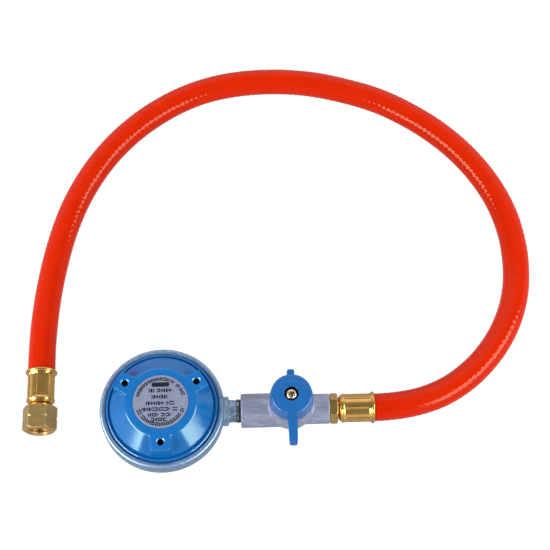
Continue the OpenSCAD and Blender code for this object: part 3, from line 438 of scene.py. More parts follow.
def lathe(name, corners, n, material, place=None, radius=None, most=None, sharp=None):
    """A turned piece of n columns, with no side of its outline longer than most."""
    points = outline(corners)
    if most:
        points = finer(points, most)
    rings = turned(points, n, radius)
    if place:
        rings = place(rings)
    return mesh_of(name, rings, quads(len(points), n, True), material, sharp)


def along_outlet(x0):
    """Local +Z becomes +X on the outlet's axis, from x0."""
    return lambda p: np.stack([x0 + p[:, 2], p[:, 1], OUTLET_Z - p[:, 0]], -1)


def at_end(p):
    """Local +Z becomes +Y from the swivel nut's mouth."""
    c, s = math.cos(math.radians(NUT_TURN)), math.sin(math.radians(NUT_TURN))
    x, y = c * p[:, 0] - s * p[:, 1], s * p[:, 0] + c * p[:, 1]
    return np.stack([END[0] + x, END[1] + p[:, 2], END[2] - y], -1)


def frames(line):
    """Directions to the side of and over a line, at each of its points."""
    way = np.gradient(line, axis=0)
    way /= np.linalg.norm(way, axis=1)[:, None]
    side = np.cross([0, 0, 1], way)
    side /= np.linalg.norm(side, axis=1)[:, None]
    return side, np.cross(way, side)


def tube(line, side, top, angle, radius):
    """A ring about each point of a line."""
    return line[:, None] + radius * (np.cos(angle)[None, :, None] * side[:, None]
                                     + np.sin(angle)[None, :, None] * top[:, None])


def soft_min(a, b, k):
    """The smaller of two values, rounded off over k where they meet."""
    h = np.clip(0.5 + 0.5 * (b - a) / k, 0, 1)
    return b * (1 - h) + a * h - k * h * (1 - h)


def ramp(x, a, b):
    """0 up to a, 1 from b on, and smooth between."""
    t = np.clip((x - a) / (b - a), 0, 1)
    return t * t * (3 - 2 * t)


def polygon_r(angle, sides, apothem, power):
    """Radius of a regular polygon with rounded corners; a flat's middle lies at angle 0."""
    total = 0
    for i in range(sides):
        total = total + np.maximum(np.cos(angle - 2 * math.pi * i / sides), 0) ** power
    return apothem * total ** (-1 / power)


def softened(name, node, material, voxel, passes, keep, grain, change=None):
    """A copy of a CAD node's shape with soft edges: remeshed, smoothed, given a grain of a size
    and depth, changed, and thinned to the share of faces to keep."""
    bm = bmesh.new()
    bm.from_mesh(frame["nodes"][node].data)
    bmesh.ops.remove_doubles(bm, verts=bm.verts, dist=1e-6)
    start = bpy.data.meshes.new(name)
    bm.to_mesh(start)
    bm.free()
    obj = bpy.data.objects.new(name + "_rough", start)
    bpy.context.scene.collection.objects.link(obj)
    remesh = obj.modifiers.new("remesh", "REMESH")
    remesh.mode, remesh.voxel_size = "VOXEL", voxel * MM
    smooth = obj.modifiers.new("smooth", "SMOOTH")
    smooth.factor, smooth.iterations = 0.5, passes
    mesh = modified(obj)
    n = len(mesh.vertices)
    co, no = np.zeros(n * 3), np.zeros(n * 3)
    mesh.vertices.foreach_get("co", co)
    mesh.vertices.foreach_get("normal", no)
    co, no = co.reshape(-1, 3) / MM, no.reshape(-1, 3)
    size, depth = grain
    lift = np.array([noise.noise(Vector(p / size)) for p in co])
    co = co + no * (lift * depth)[:, None]
    if change:
        co = change(co, no)
    mesh.vertices.foreach_set("co", (co * MM).ravel())
    obj.modifiers.clear()
    obj.data = mesh
    obj.modifiers.new("thin", "DECIMATE").ratio = keep
    mesh = modified(obj)
    bpy.data.objects.remove(obj)
    mesh.name = name
    return finished(name, mesh, material)


# ---------------------------------------------------------------- hose

# Points on the hose's middle line, from its end in the outlet ferrule to that in the other
ROUTE = [
    [99.5, 0, 18], [113.5, 0, 18], [118, 0, 18], [139, 2, 17.6], [157, 8, 16.5],
    [173, 18.5, 14.9], [187, 33, 13], [198, 50.5, 11], [205, 70, 9.3],
    [207.5, 91, 8.2], [206, 111.5, 7.92], [200.5, 131.5, 7.92], [191.5, 149.5, 7.92],
    [179.5, 166, 7.92], [165, 180.5, 7.92], [149, 192.5, 7.92], [131.5, 202.5, 7.92],
    [113, 209.5, 7.92], [93.5, 214.8, 7.92], [73.5, 217.4, 7.92], [53.5, 217.4, 7.92],
    [33.5, 214.6, 7.92], [14.5, 208.4, 7.92], [-3, 198.8, 7.92], [-19.5, 186, 7.92],
    [-33.5, 171, 7.92], [-45, 154, 7.92], [-54, 135.5, 7.92], [-60.5, 116, 7.95],
    [-65, 96, 8.15], [-68, 76, 8.8], [-69.6, 56, 9.9], [-70, 42, 10.6],
    [-70, 29, 10.8], [-70, 24.5, 10.8], [-70, 10.6, 10.8]]


def smooth_line(points, step):
    """Points a step apart on the natural cubic curve through the given points."""
    p = np.array(points, float)
    t = np.concatenate([[0], np.cumsum(np.linalg.norm(np.diff(p, axis=0), axis=1))])
    h, n = np.diff(t), len(p)
    a, b = np.eye(n), np.zeros((n, 3))
    for i in range(1, n - 1):
        a[i, i - 1:i + 2] = h[i - 1], 2 * (h[i - 1] + h[i]), h[i]
        b[i] = 6 * ((p[i + 1] - p[i]) / h[i] - (p[i] - p[i - 1]) / h[i - 1])
    bend = np.linalg.solve(a, b)

    def at(x):
        i = np.clip(np.searchsorted(t, x, side="right") - 1, 0, n - 2)
        l, r, w = (x - t[i])[:, None], (t[i + 1] - x)[:, None], h[i][:, None]
        return (bend[i] * r ** 3 + bend[i + 1] * l ** 3) / (6 * w) + (
            p[i] / w - bend[i] * w / 6) * r + (p[i + 1] / w - bend[i + 1] * w / 6) * l
    fine = at(np.linspace(0, t[-1], 20000))
    run = np.concatenate([[0], np.cumsum(np.linalg.norm(np.diff(fine, axis=0), axis=1))])
    want = np.linspace(0, run[-1], max(2, round(run[-1] / step) + 1))
    return np.stack([np.interp(want, run, fine[:, k]) for k in range(3)], -1), want


def make_hose():
    sides, step, bore_step = 60, 0.62, 20
    gripped_r, swell, bore_r = 7.1, 0.62, 4.3
    line, run = smooth_line(ROUTE, step)
    length = run[-1]
    side, top = frames(line)
    angle = np.linspace(0, 2 * math.pi, sides, endpoint=False)
    # The hose is thicker where no ferrule grips it
    free = (ramp(run, 16, 19.2) * (1 - ramp(run, length - 19.2, length - 16)))[:, None]
    # The braid under the skin: 12 strands each way, a turn every 41 mm
    strands, lead, height = 12, 41, 0.09
    a = strands * angle[None, :]
    b = strands * 2 * math.pi * run[:, None] / lead
    braid = np.cos(a) * np.cos(b)
    # Slow, slight changes of thickness
    rng = np.random.default_rng(4)
    knots = 60
    slow = np.interp(run, np.linspace(0, length, knots), rng.normal(0, 0.03, knots))
    r = gripped_r + swell * free + free * (height * braid + slow[:, None])
    skin = tube(line, side, top, angle, r[..., None])
    picks = np.unique(np.r_[np.arange(0, len(line), bore_step), len(line) - 1])[::-1]
    bore = tube(line[picks], side[picks], top[picks], angle, bore_r)
    points = np.concatenate([skin.reshape(-1, 3), bore.reshape(-1, 3)])
    rows = len(line) + len(picks)
    obj = mesh_of("hose_tube", points, quads(rows, sides, True), "hose")
    stands(obj, "hose")
    return obj, line[::8], length


hose, hose_line, hose_length = make_hose()


# ---------------------------------------------------------------- brass fittings

def hexagon(af, length, face, chamfer, turn, notch=0.0):
    """Radius of a hexagonal bar whose ends are chamfered down to a round face, and with a V
    groove of a depth across its corners."""
    corner = af / math.sqrt(3)
    rise = (corner + 0.2 - face) / chamfer

    def radius(angle, z):
        r = polygon_r(angle - math.radians(turn + 30), 6, af / 2, 90)
        r = soft_min(r, face + rise * z, 0.14)
        r = soft_min(r, face + rise * (length - z), 0.14)
        if notch:
            r = soft_min(r, corner - notch + np.abs(z - length / 2), 0.1)
        return r
    return radius


def crimped(ridge):
    """Outer skin of a crimped ferrule: eight pressed panels between narrow ridges, the first
    ridge at an angle in degrees."""
    count, skin_r, ridge_half = 8, 8, 0.36

    def radius(angle, r, z):
        # off is 0 in a panel's middle, and gap is the distance to the nearest ridge
        off = ((angle - math.radians(ridge)) * count / (2 * math.pi)) % 1 - 0.5
        gap = np.abs(np.abs(off) - 0.5) * 2 * math.pi * skin_r / count
        panel = 1 - np.exp(-(gap / ridge_half) ** 2)
        zone = ramp(z, 2.4, 3.6) * (1 - ramp(z, 16.8, 17.8))
        imprint = ramp(z, 0.4, 2.4) * (1 - ramp(z, 17.8, 18.4)) * (1 - zone)
        wave = 0.5 + 0.5 * np.cos(2 * math.pi * off)
        dent = (0.22 + 0.3 * panel + 0.08 * wave) * zone + 0.12 * imprint * wave
        return np.where((z > 0.1) & (r > 7.6), r - dent, r)
    return radius


def ferrule(name, place, ridge, node):
    obj = lathe(name, [
        (4.8, 0, 0.15), (6.3, 0, 1.5), (8.15, 2.0, 1.7), (8.15, 17.8, 0.6), (8.25, 18.2, 0.3),
        (8.95, 18.6, 0.5), (8.95, 19.5, 0.6), (8.4, 20.0, 0.3), (7.85, 20.0, 0.25),
        (7.85, 19.0, 0.3), (7.15, 15.0, 0.3), (7.15, 1.3, 0.2), (4.8, 1.3, 0.1)],
        288, "ferrule", place, crimped(ridge), 0.24)
    return stands(obj, node)


ferrule("near_ferrule", along_outlet(TAP_OUT_X + 5), 19, "outlet_ferrule")
far_ferrule = ferrule("far_ferrule", lambda p: at_end(p + np.array([0, 0, 15.9])), 26.5,
                      "end_ferrule")


def barbs(z0):
    """Corners of the barbed tail that holds the hose, from z0."""
    length, count, root, crest = 17, 4, 3.6, 4.1
    made, step = [], length / count
    for i in range(count):
        z = z0 + i * step
        made += [(root, z, 0.05), (crest, z + 0.35, 0.1), (crest, z + 0.9, 0.1),
                 (root, z + step - 0.2, 0.2)]
    return made + [(root, z0 + length, 0.2)]


def make_fitting():
    """Outlet fitting: stub in the tap, hexagonal collar, neck and barbed tail."""
    length, face_r = 4.6, 7.3
    hexa = hexagon(15, length, face_r, 0.5, COLLAR_TURN)

    def radius(angle, r, z):
        return np.where(r > face_r + 0.1, np.minimum(r, hexa(angle, z)), r)
    corners = [(2.6, -10, 0.2), (4.9, -10, 0.5), (4.9, -0.4, 0.1), (4.9, 0, 0), (face_r, 0, 0),
               (9, 0, 0), (9, length, 0), (face_r, length, 0), (4.7, length, 0.3), (4.7, 6.4, 0)]
    corners += barbs(6.41) + [(2.6, 23.4, 0.2)]
    obj = lathe("outlet_collar", corners, 210, "fitting", along_outlet(TAP_OUT_X), radius, 0.22)
    stands(obj, "outlet_fitting")


make_fitting()


def make_nut():
    """Swivel nut with its left-hand thread."""
    length, face_r, over_r, thread_r, columns = 15, 7.5, 12, 5.7, 240
    hexa = hexagon(17.2, length, face_r, 1.6, 0, 0.75)
    pitch, depth = 1.337, 0.75

    def radius(angle, r, z):
        turn = (z / pitch + angle / (2 * math.pi)) % 1
        groove = np.abs(turn - 0.5) * 2
        cut = depth * np.clip(1.25 * groove - 0.12, 0, 1)
        inside = ramp(z, 1.6, 2.4) * (1 - ramp(z, 7.8, 8.4))
        made = np.where(np.abs(r - thread_r) < 0.01, thread_r + cut * inside, r)
        return np.where(r > face_r, np.minimum(r, hexa(angle, z)), made)
    corners = [(7.0, 0, 0.2), (over_r, 0, 0), (over_r, length, 0), (4.75, length, 0.2),
               (4.75, 12.2, 0.1), (6.3, 12.2, 0.3), (6.3, 8.4, 0), (thread_r, 8.4, 0),
               (thread_r, 1.3, 0)]
    points = finer(outline(corners), 0.12)
    # The end faces' points outside their round edge would all fall on it
    keep = (points[:, 0] <= face_r) | (points[:, 0] >= over_r - 0.01)
    rings = turned(points[keep], columns, radius)
    obj = mesh_of("swivel_nut_brass", at_end(rings), quads(int(keep.sum()), columns, True), "nut")
    return stands(obj, "swivel_nut")


nut = make_nut()


# ---------------------------------------------------------------- regulator

def make_rim():
    """Turned rim: band, rolled lip, seat and ledge."""
    lip_z = RIM_TOP - LIP_R
    lip = [(RIM_R - LIP_R + LIP_R * math.cos(math.radians(a)),
            lip_z + LIP_R * math.sin(math.radians(a)), 0) for a in range(0, 181, 10)]
    corners = [(CHAMBER_R, 17.6, 0), (BOWL_R, 17.6, 0), (BOWL_R, 18.0, 0.2),
               (33.7, RIM_LOW, 0.3), (RIM_R, RIM_LOW + 0.8, 0.4)] + lip + [
        (LIP_IN_R, SEAT_Z, 0), (32.3, SEAT_Z, 0), (32.3, LEDGE_Z, 0), (CHAMBER_R, LEDGE_Z, 0.2)]
    part_of_body(lathe("regulator_rim", corners, 220, "rim", sharp=50))


def sunk_rim(co, no):
    """Draws the casting in under the separate rim, and opens its socket for the thread."""
    sink, opened_r = 0.32, 5.9
    r = np.hypot(co[:, 0], co[:, 1])
    spigot = (co[:, 0] > 0) & (np.hypot(co[:, 1], co[:, 2] - OUTLET_Z) < 8.4)
    rim = (co[:, 2] > 18.3) & (r > 28.7) & ~(spigot & (r > 33.2))
    co = co - no * np.where(rim, sink, 0)[:, None]
    wall = (co[:, 2] < 8.2) & (r > 4.7) & (r < 5.6)
    grow = np.where(wall, opened_r / np.maximum(r, 1), 1)
    co[:, 0] *= grow
    co[:, 1] *= grow
    return co


make_rim()
body = softened("regulator_casting", "regulator_body", "regulator_casting", voxel=0.4, passes=3,
                keep=0.5, grain=(1.2, 0.05), change=sunk_rim)
stands(body, "regulator_body")


def make_socket_thread():
    """Thread of the cartridge's socket, as a lining of its bore."""
    pitch, depth, thread_r = 0.907, 0.4, 5.15

    def radius(angle, r, z):
        groove = np.abs((z / pitch - angle / (2 * math.pi)) % 1 - 0.5) * 2
        threaded = thread_r + depth * np.clip(1.2 * groove - 0.1, 0, 1) * ramp(z, 0.6, 1.2)
        return np.where(np.abs(r - thread_r) < 0.01, threaded, r)
    corners = [(5.75, 0.02, 0), (6.15, 0.02, 0), (6.15, 8.0, 0), (thread_r, 8.0, 0),
               (thread_r, 0.6, 0)]
    obj = lathe("socket_thread", corners, 144, "plug", None, radius, 0.1)
    part_of_body(obj)


make_socket_thread()


def cover_profile():
    """Radius and height of the pressed cover from its centre to its flange."""
    corners = [(0, COVER_TOP, 0), (19.3, COVER_TOP, 2.2), (28.2, 30.36, 0.4), (28.8, 28.6, 0.25),
               (29.3, 28.6, 0.25), (29.65, 29.5, 0.2), (30.2, 29.5, 0.3), (COVER_R, 29.0, 0.4),
               (COVER_R, SEAT_Z, 0.3), (FLANGE_R, SEAT_Z, 0)]
    # The outline has to be closed for its corners to be rounded, so two are added at z 0
    points = outline(corners + [(FLANGE_R, 0, 0), (0, 0, 0)], 9)
    points = points[points[:, 1] > 1]
    made = [points[0]]
    for a, b in zip(points[:-1], points[1:]):
        on_cone = 17.5 < b[0] < 28.9
        most = 0.32 if on_cone else 0.9
        n = max(1, math.ceil(np.linalg.norm(b - a) / most))
        made += [a + (b - a) * k / n for k in range(1, n + 1)]
    return np.array(made)


def make_cover():
    """Pressed cover: three pads level with its top stand out of its cone, each with a
    countersunk vent."""
    profile = cover_profile()
    # Angles are closer together along the pads' sides
    turns = []
    for middle in (-90, 30, 150):
        turns += [middle + np.arange(-25, 25, 0.8), middle + np.arange(25, 95, 2.2)]
    angle = np.radians(np.concatenate(turns))
    r = np.repeat(profile[:, :1], len(angle), 1)
    z = np.repeat(profile[:, 1:], len(angle), 1)
    r[0] = 0.02
    x, y = r * np.cos(angle), r * np.sin(angle)
    # Under a pad the drop from the top is 0, and it grows to the cone's over the pad's wall
    pad_half, pad_end, wall, corner_r, foot_r = 5.0, 26.9, 1.3, 0.6, 28.7
    drop = COVER_TOP - z
    for c, s in PADS:
        u, v = c * x + s * y, np.abs(-s * x + c * y)
        du = np.maximum(u - (pad_end - corner_r), 0)
        dv = np.maximum(v - (pad_half - corner_r), 0)
        off = np.where(u > 2, np.hypot(du, dv) - corner_r, 60)
        drop = np.where(r < foot_r, drop * ramp(off, 0, wall), drop)
    z = COVER_TOP - drop
    # The vents are countersunk, and their grid's faces are cut out and drawn up to their edge
    vent_at, hole, dish, dish_slope = 22.7, 1.8, 2.7, 0.85
    for c, s in PADS:
        far = np.hypot(x - vent_at * c, y - vent_at * s)
        z = z - dish_slope * np.clip(dish - far, 0, dish - hole)
    points = np.stack([x, y, z], -1).reshape(-1, 3)
    faces = quads(len(profile), len(angle), False)
    for way in PADS:
        vent = vent_at * np.array(way)
        off = points[:, :2] - vent
        far = np.linalg.norm(off, axis=1)
        inside = far < hole
        faces = faces[~inside[faces].all(1)]
        move = inside & np.isin(np.arange(len(points)), faces)
        points[move, :2] = vent + off[move] * (hole / far[move])[:, None]
    used, faces = np.unique(faces, return_inverse=True)
    obj = mesh_of("cover_shell", points[used], faces.reshape(-1, 4), "paint")
    shell = obj.modifiers.new("shell", "SOLIDIFY")
    shell.thickness, shell.offset = 0.95 * MM, -1
    mesh = modified(obj)
    bpy.data.objects.remove(obj)
    mesh.name = "cover_shell"
    stands(finished("cover_shell", mesh, "paint", 55), "regulator_cover")


make_cover()


def make_disc():
    """Rating disc on the cover's top."""
    disc_r = 15.1
    obj = lathe("rating_plate", [(0.02, COVER_TOP, 0), (disc_r, COVER_TOP, 0),
                                 (disc_r, DISC_TOP, 0.12), (0.02, DISC_TOP, 0)],
                160, "foil", most=1.2, sharp=40)
    stands(obj, "rating_disc")


def make_print():
    """Marks in place of the plate's lettering: rows and arcs of short dashes."""
    rng = random.Random(7)
    pitch, line_height, arc_r, arc_height, gaps = 1.4, 2.15, 12.9, 2.0, 0.1
    points, faces = [], []

    def bar(x, y, w, h, turn):
        """A thin plate with cut corners."""
        c, s = math.cos(turn), math.sin(turn)
        cut = min(w, h) * 0.3
        ring = [(-w / 2 + cut, -h / 2), (w / 2 - cut, -h / 2), (w / 2, -h / 2 + cut),
                (w / 2, h / 2 - cut), (w / 2 - cut, h / 2), (-w / 2 + cut, h / 2),
                (-w / 2, h / 2 - cut), (-w / 2, -h / 2 + cut)]
        first = len(points)
        for level in (DISC_TOP - 0.01, DISC_TOP + 0.02):
            points.extend([x + c * u - s * v, y + s * u + c * v, level] for u, v in ring)
        faces.append([first + k for k in range(7, -1, -1)])
        faces.append([first + 8 + k for k in range(8)])
        faces.extend([first + k, first + (k + 1) % 8, first + 8 + (k + 1) % 8, first + 8 + k]
                     for k in range(8))

    def glyph(x, y, turn, size):
        """A generic mark: one or two strokes, not a letter."""
        c, s = math.cos(turn), math.sin(turn)
        kind = rng.randrange(3)
        strokes = {0: [(-0.3, 0, 0.36, 1), (0.3, 0, 0.36, 1)],
                   1: [(0, 0.33, 0.85, 0.32), (0, -0.33, 0.85, 0.32)],
                   2: [(-0.28, 0, 0.36, 1), (0.22, 0.02, 0.5, 0.36)]}[kind]
        for u, v, w, h in strokes:
            u, v, w, h = u * size * 0.75, v * size, w * size * 0.75, h * size
            bar(x + c * u - s * v, y + s * u + c * v, w, h, turn)

    bar(0, 9.7, 9.8, 2.6, 0)
    for y, width in ((6.3, 12.4), (2.7, 9.2), (-0.9, 15.4), (-4.3, 20.2), (-7.5, 13.4),
                     (-10.2, 10.2)):
        x = -width / 2 + 0.6
        while x < width / 2 - 0.3:
            if rng.random() > gaps:
                glyph(x, y, 0, line_height)
            x += pitch
    for start, stop, count, out in ((163, 17, 34, 1), (-158, -22, 31, -1)):
        for k in range(count):
            if rng.random() > gaps:
                a = math.radians(start + (stop - start) * k / (count - 1))
                turn = a - out * math.pi / 2
                glyph(arc_r * math.cos(a), arc_r * math.sin(a), turn, arc_height)
    obj = mesh_of("plate_print", points, faces, "ink")
    obj.data.shade_flat()
    part_of_body(obj)


make_disc()
make_print()


# ---------------------------------------------------------------- tap

tap = softened("tap_casting", "tap_body", "tap_casting", voxel=0.34, passes=4, keep=0.55,
               grain=(1.6, 0.05))
stands(tap, "tap_body")


def handle_marks(co, no):
    """The top's round edge, its groove towards the lever, its raised arc and ticks on either
    side, and the lever's slimmer end."""
    edge, flat_r, drum_r, recess_r, print_rise, groove_depth = 1.3, 10.05, 11.8, 3.95, 0.2, 0.4
    x, y = co[:, 0] - HANDLE_X, co[:, 1]
    r, a = np.hypot(x, y), np.degrees(np.arctan2(y, x))
    # The edge is drawn in to its rounding, but not where the lever leaves it
    out, over = np.maximum(r - flat_r, 0), np.maximum(co[:, 2] - HANDLE_TOP + edge, 0)
    far = np.hypot(out, over)
    on_edge = (out > 0) & (over > 0) & (far > edge) & (r < drum_r)
    share = np.where(on_edge, 1 - edge / np.maximum(far, edge), 0)
    share = share * np.where(y < 0, ramp(np.abs(x), 3.2, 3.7), 1)
    pull = share * out / np.maximum(r, 1)
    co[:, 0] -= x * pull
    co[:, 1] -= y * pull
    co[:, 2] -= over * share
    x, y = co[:, 0] - HANDLE_X, co[:, 1].copy()
    # Groove, arc and ticks
    groove = (groove_depth * np.exp(-(x / 0.36) ** 2) * ramp(-y, 3.9, 4.3)
              * (1 - ramp(-y, 10.2, 11.2)))
    rise = (print_rise * np.exp(-((r - 7) / 0.32) ** 2) * ramp(a, 58, 62)
            * (1 - ramp(a, 118, 122)))
    for first, last in ((18, 52), (128, 162)):
        tick = np.cos(2 * math.pi * (a - first) / 8.5) > 0.3
        near = (a > first - 2) & (a < last + 2)
        rise = rise + print_rise * near * tick * ramp(r, 6.6, 6.9) * (1 - ramp(r, 8.5, 8.8))
    # The lever narrows and leans to +X towards its end; the pointer tab's end is narrower too
    reach = ramp(-y, 11.5, 20)
    co[:, 0] += (0.35 - 0.07 * x) * reach - 0.16 * x * ramp(-y, 25.8, 27.6)
    tab = ramp(y, 14.9, 16.2)
    co[:, 0] -= 0.5 * tab ** 2 * np.sign(x) * ramp(np.abs(x), 0.8, 1.6)
    top = (co[:, 2] > HANDLE_TOP - 0.06) & (r > recess_r) & (r < flat_r)
    fade = 1 - ramp(r, 9.6, flat_r)
    flat = HANDLE_TOP + (rise - groove) * np.where(y < -8, 1, fade)
    co[:, 2] = np.where(top, flat, co[:, 2])
    return co


handle = softened("handle_grip", "tap_handle", "plastic", voxel=0.2, passes=4, keep=0.5,
                  grain=(2.5, 0.012), change=handle_marks)
stands(handle, "tap_handle")


def make_screw():
    """Pan-head screw with a cross recess."""
    head_z, head_r, tip_z, shank_r, cross_turn, columns = 45.0, 3.05, 35.0, 1.25, 20, 120
    top_z = head_z + 1.7
    corners = [(0.02, tip_z, 0), (shank_r, tip_z, 0.3), (shank_r, head_z, 0),
               (head_r, head_z, 0.1), (head_r, head_z + 0.9, 0.5), (2.3, top_z, 0.6),
               (0.02, top_z, 0)]
    rings = turned(finer(outline(corners), 0.12), columns)
    c, s = math.cos(math.radians(cross_turn)), math.sin(math.radians(cross_turn))
    u = np.abs(c * rings[:, 0] + s * rings[:, 1])
    v = np.abs(-s * rings[:, 0] + c * rings[:, 1])
    arm = np.minimum(u, v) + np.maximum(np.maximum(u, v) - 1.6, 0)
    depth = 0.85 * (1 - ramp(arm, 0.28, 0.62)) + 0.3 * (1 - ramp(np.hypot(u, v), 0.4, 1.1))
    rings[:, 2] -= np.where(rings[:, 2] > head_z + 1.2, depth, 0)
    obj = mesh_of("screw_head", rings + np.array([HANDLE_X, 0, 0]),
                  quads(len(rings) // columns, columns, True), "screw")
    stands(obj, "handle_screw")


make_screw()


# ---------------------------------------------------------------- soft and wound pieces

def make_spring():
    """Compression spring under the cover; low and high are its wire's middle at its ends."""
    low, high = 26.65, 37.25
    turns, per_turn, n, wire_r, mean_r = 4.5, 32, 14, 0.7, 9
    t = np.linspace(0, 1, int(turns * per_turn) + 1)
    rise = low + (high - low) * t
    a = 2 * math.pi * turns * t
    line = np.stack([mean_r * np.cos(a), mean_r * np.sin(a), rise], -1)
    angle = np.linspace(0, 2 * math.pi, n, endpoint=False)
    rings = tube(line, *frames(line), angle, wire_r)
    faces = quads(len(line), n, False).tolist()
    faces += [list(range(n)), [(len(line) - 1) * n + k for k in range(n)]]
    obj = mesh_of("spring_coil", rings.reshape(-1, 3), faces, "spring", 50)
    stands(obj, "main_spring")
    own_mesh(obj)


def make_diaphragm():
    """Rubber disc with a rolled fold, clamped under the cover's flange."""
    low, thick, fold_x, fold_r = 24.0, 1.0, 26.2, 2.2

    def arc(r, first, last):
        return [(fold_x + r * math.cos(a), LEDGE_Z + r * math.sin(a), 0)
                for a in map(math.radians, np.linspace(first, last, 15))]
    over = math.degrees(math.asin(thick / fold_r))
    corners = [(2.7, low, 0.15), (2.7, low + thick, 0.15), (fold_x - fold_r, low + thick, 0.3)]
    corners += arc(fold_r, 180, over) + [
        (FLANGE_R, LEDGE_Z + thick, 0.15), (FLANGE_R, LEDGE_Z, 0.15), (28.4, LEDGE_Z, 0.1),
        (28.1, low, 0.25), (27.4, low, 0.25)]
    corners += arc(fold_r - thick, 0, 180) + [(fold_x - fold_r + thick, low, 0.3)]
    obj = lathe("diaphragm_sheet", corners, 160, "diaphragm_rubber")
    stands(obj, "diaphragm")
    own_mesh(obj)


def make_seals():
    """Rubber pad, washers and O-rings with rounded edges."""
    tilt = math.asin(TRAVEL / LEVER_ARM)
    c, s = math.cos(tilt), math.sin(tilt)
    pin_z, beyond_pin = 19.2, 4.5

    def on_lever(p):
        """Local +Z becomes the lever's own up, over its short end."""
        x, z = p[:, 0] - beyond_pin, p[:, 2]
        return np.stack([-LEVER_ARM + c * x + s * z, p[:, 1], pin_z - s * x + c * z], -1)
    pad = lathe("valve_pad_rubber", [(0.02, -0.7, 0), (1.9, -0.7, 0.2), (1.9, 0.6, 0.2),
                                     (0.02, 0.6, 0)], 64, "seal_rubber", on_lever, most=0.4)
    stands(pad, "valve_pad")
    seal = lathe("cartridge_washer", [(2.2, 8.39, 0.3), (5.6, 8.39, 0.3), (5.6, 9.99, 0.3),
                                      (2.2, 9.99, 0.3)], 96, "seal_rubber", most=0.5)
    stands(seal, "cartridge_seal")
    seal = lathe("spigot_washer", [(5.0, 0, 0.2), (6.4, 0, 0.25), (6.4, 1.0, 0.25),
                                   (5.0, 1.0, 0.2)], 96, "seal_rubber", along_outlet(42.3),
                 most=0.4)
    stands(seal, "outlet_seal")
    rings, faces = [], []
    mean_r, thick_r, sides, columns = 6.23, 0.75, 20, 96
    for z in (13.1, 26.3):
        section = np.array([(mean_r + thick_r * math.cos(a), z + thick_r * math.sin(a))
                            for a in np.linspace(0, 2 * math.pi, sides, endpoint=False)])
        faces.append(quads(sides, columns, True) + len(rings) * sides * columns)
        rings.append(turned(section, columns) + np.array([HANDLE_X, 0, 0]))
    seal = mesh_of("plug_seals", np.concatenate(rings), np.concatenate(faces), "seal_rubber")
    stands(seal, "plug_orings")


make_spring()
make_diaphragm()
make_seals()


# CAD nodes that keep their shape, and their materials
KEPT = {
    "diaphragm_plate": "steel", "diaphragm_stem": "plug", "valve_lever": "steel",
    "lever_pin": "steel", "inlet_nozzle": "plug", "cartridge_probe": "plug",
    "spigot_lock_ring": "ring", "tap_plug": "plug", "plug_clip": "clip",
    # The handle's washer takes the near-black steel as painted shade in the screw's recess
    "handle_washer": "clip", "end_tail": "plug",
}
for name, material in KEPT.items():
    data = frame["nodes"][name].data
    data.materials.clear()
    data.materials.append(mats[material].material)


# ---------------------------------------------------------------- floor, backdrop and lamps

def rays(tree):
    """Sockets that read 1 for the camera's own rays, and for rays off gloss or through glass."""
    path = tree.nodes.new("ShaderNodeLightPath")
    shiny = maths(tree, "MAXIMUM", path.outputs["Is Glossy Ray"],
                  path.outputs["Is Transmission Ray"])
    return path.outputs["Is Camera Ray"], shiny


def make_floor(camera, gloss, always):
    """Paper that glows: always for every ray, with camera added for the camera's rays and gloss
    for shiny ones."""
    size, z = 6.0, -0.0002
    mesh = bpy.data.meshes.new("floor")
    mesh.from_pydata([(-size, -size, z), (size, -size, z), (size, size, z), (-size, size, z)],
                     [], [(0, 1, 2, 3)])
    floor = bpy.data.objects.new("floor", mesh)
    bpy.context.scene.collection.objects.link(floor)
    material = bpy.data.materials.new("floor_paper")
    material.use_nodes = True
    tree = material.node_tree
    shader = tree.nodes["Principled BSDF"]
    shader.inputs["Base Color"].default_value = (0.12, 0.12, 0.12, 1)
    shader.inputs["Roughness"].default_value = 1
    shader.inputs["Specular IOR Level"].default_value = 0
    glow = tree.nodes.new("ShaderNodeEmission")
    seen, shiny = rays(tree)
    extra = maths(tree, "ADD", maths(tree, "MULTIPLY", seen, camera),
                  maths(tree, "MULTIPLY", shiny, gloss))
    tree.links.new(maths(tree, "ADD", extra, always), glow.inputs["Strength"])
    both = tree.nodes.new("ShaderNodeAddShader")
    tree.links.new(shader.outputs[0], both.inputs[0])
    tree.links.new(glow.outputs[0], both.inputs[1])
    tree.links.new(both.outputs[0], tree.nodes["Material Output"].inputs["Surface"])
    mesh.materials.append(material)


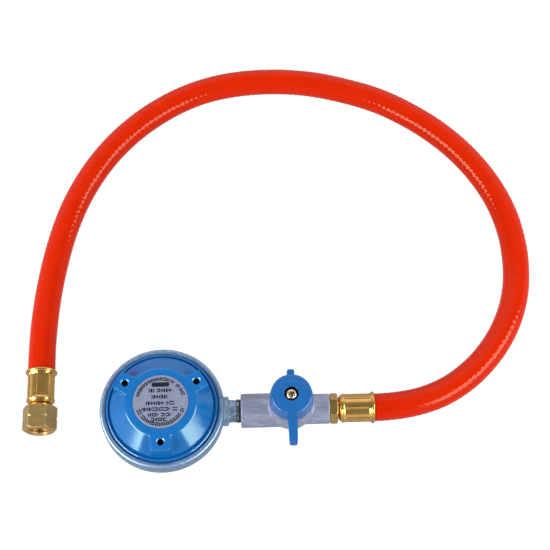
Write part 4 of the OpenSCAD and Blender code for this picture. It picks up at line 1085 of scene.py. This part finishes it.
def make_world(light, low, high, overhead):
    """Even light of a strength for the object. Camera rays see a white backdrop; gloss and glass
    see it too, up to where the studio darkens to overhead, and a light wall behind."""
    world = bpy.data.worlds.new("studio")
    bpy.context.scene.world = world
    world.use_nodes = True
    tree = world.node_tree
    back = tree.nodes["Background"]
    back.inputs["Color"].default_value = (1, 1, 1, 1)
    place = tree.nodes.new("ShaderNodeTexCoord")
    split = tree.nodes.new("ShaderNodeSeparateXYZ")
    tree.links.new(place.outputs["Generated"], split.inputs[0])

    def slope(value, start, stop, first, last):
        made = tree.nodes.new("ShaderNodeMapRange")
        made.interpolation_type = "SMOOTHSTEP"
        tree.links.new(value, made.inputs["Value"])
        for socket, number in (("From Min", start), ("From Max", stop), ("To Min", first),
                               ("To Max", last)):
            made.inputs[socket].default_value = number
        return made.outputs["Result"]
    sky = maths(tree, "MAXIMUM", slope(split.outputs[2], low, high, 1.0, overhead),
                slope(split.outputs[1], 0.3, 0.65, 0.0, 1.15))
    seen, shiny = rays(tree)
    even = maths(tree, "MULTIPLY", maths(tree, "SUBTRACT", 1.0, shiny), light)
    strength = maths(tree, "ADD", maths(tree, "MULTIPLY", shiny, sky), even)
    tree.links.new(maths(tree, "MAXIMUM", strength, seen), back.inputs["Strength"])


def lamp(name, place, width, height, energy, colour=(1, 1, 1)):
    """A softbox that faces the middle of the object."""
    data = bpy.data.lights.new(name, "AREA")
    data.shape = "RECTANGLE"
    data.size, data.size_y, data.energy, data.color = width, height, energy, colour
    return look(bpy.data.objects.new(name, data), place, (0.06, 0.08, 0.02))


make_floor(camera=0.54, gloss=-0.06, always=0.4)
make_world(light=0.28, low=0.08, high=0.42, overhead=0.28)
COOL = (0.95, 1, 0.97)
lamp("softbox_right", (0.98, -0.34, 0.50), 1.2, 0.46, 19, COOL)
lamp("softbox_left", (-0.86, -0.38, 0.46), 1.0, 0.46, 20, COOL)
lamp("softbox_back", (0.1, 1.3, 0.8), 1.2, 0.6, 18).visible_glossy = False

bpy.context.scene.view_settings.view_transform = "Standard"
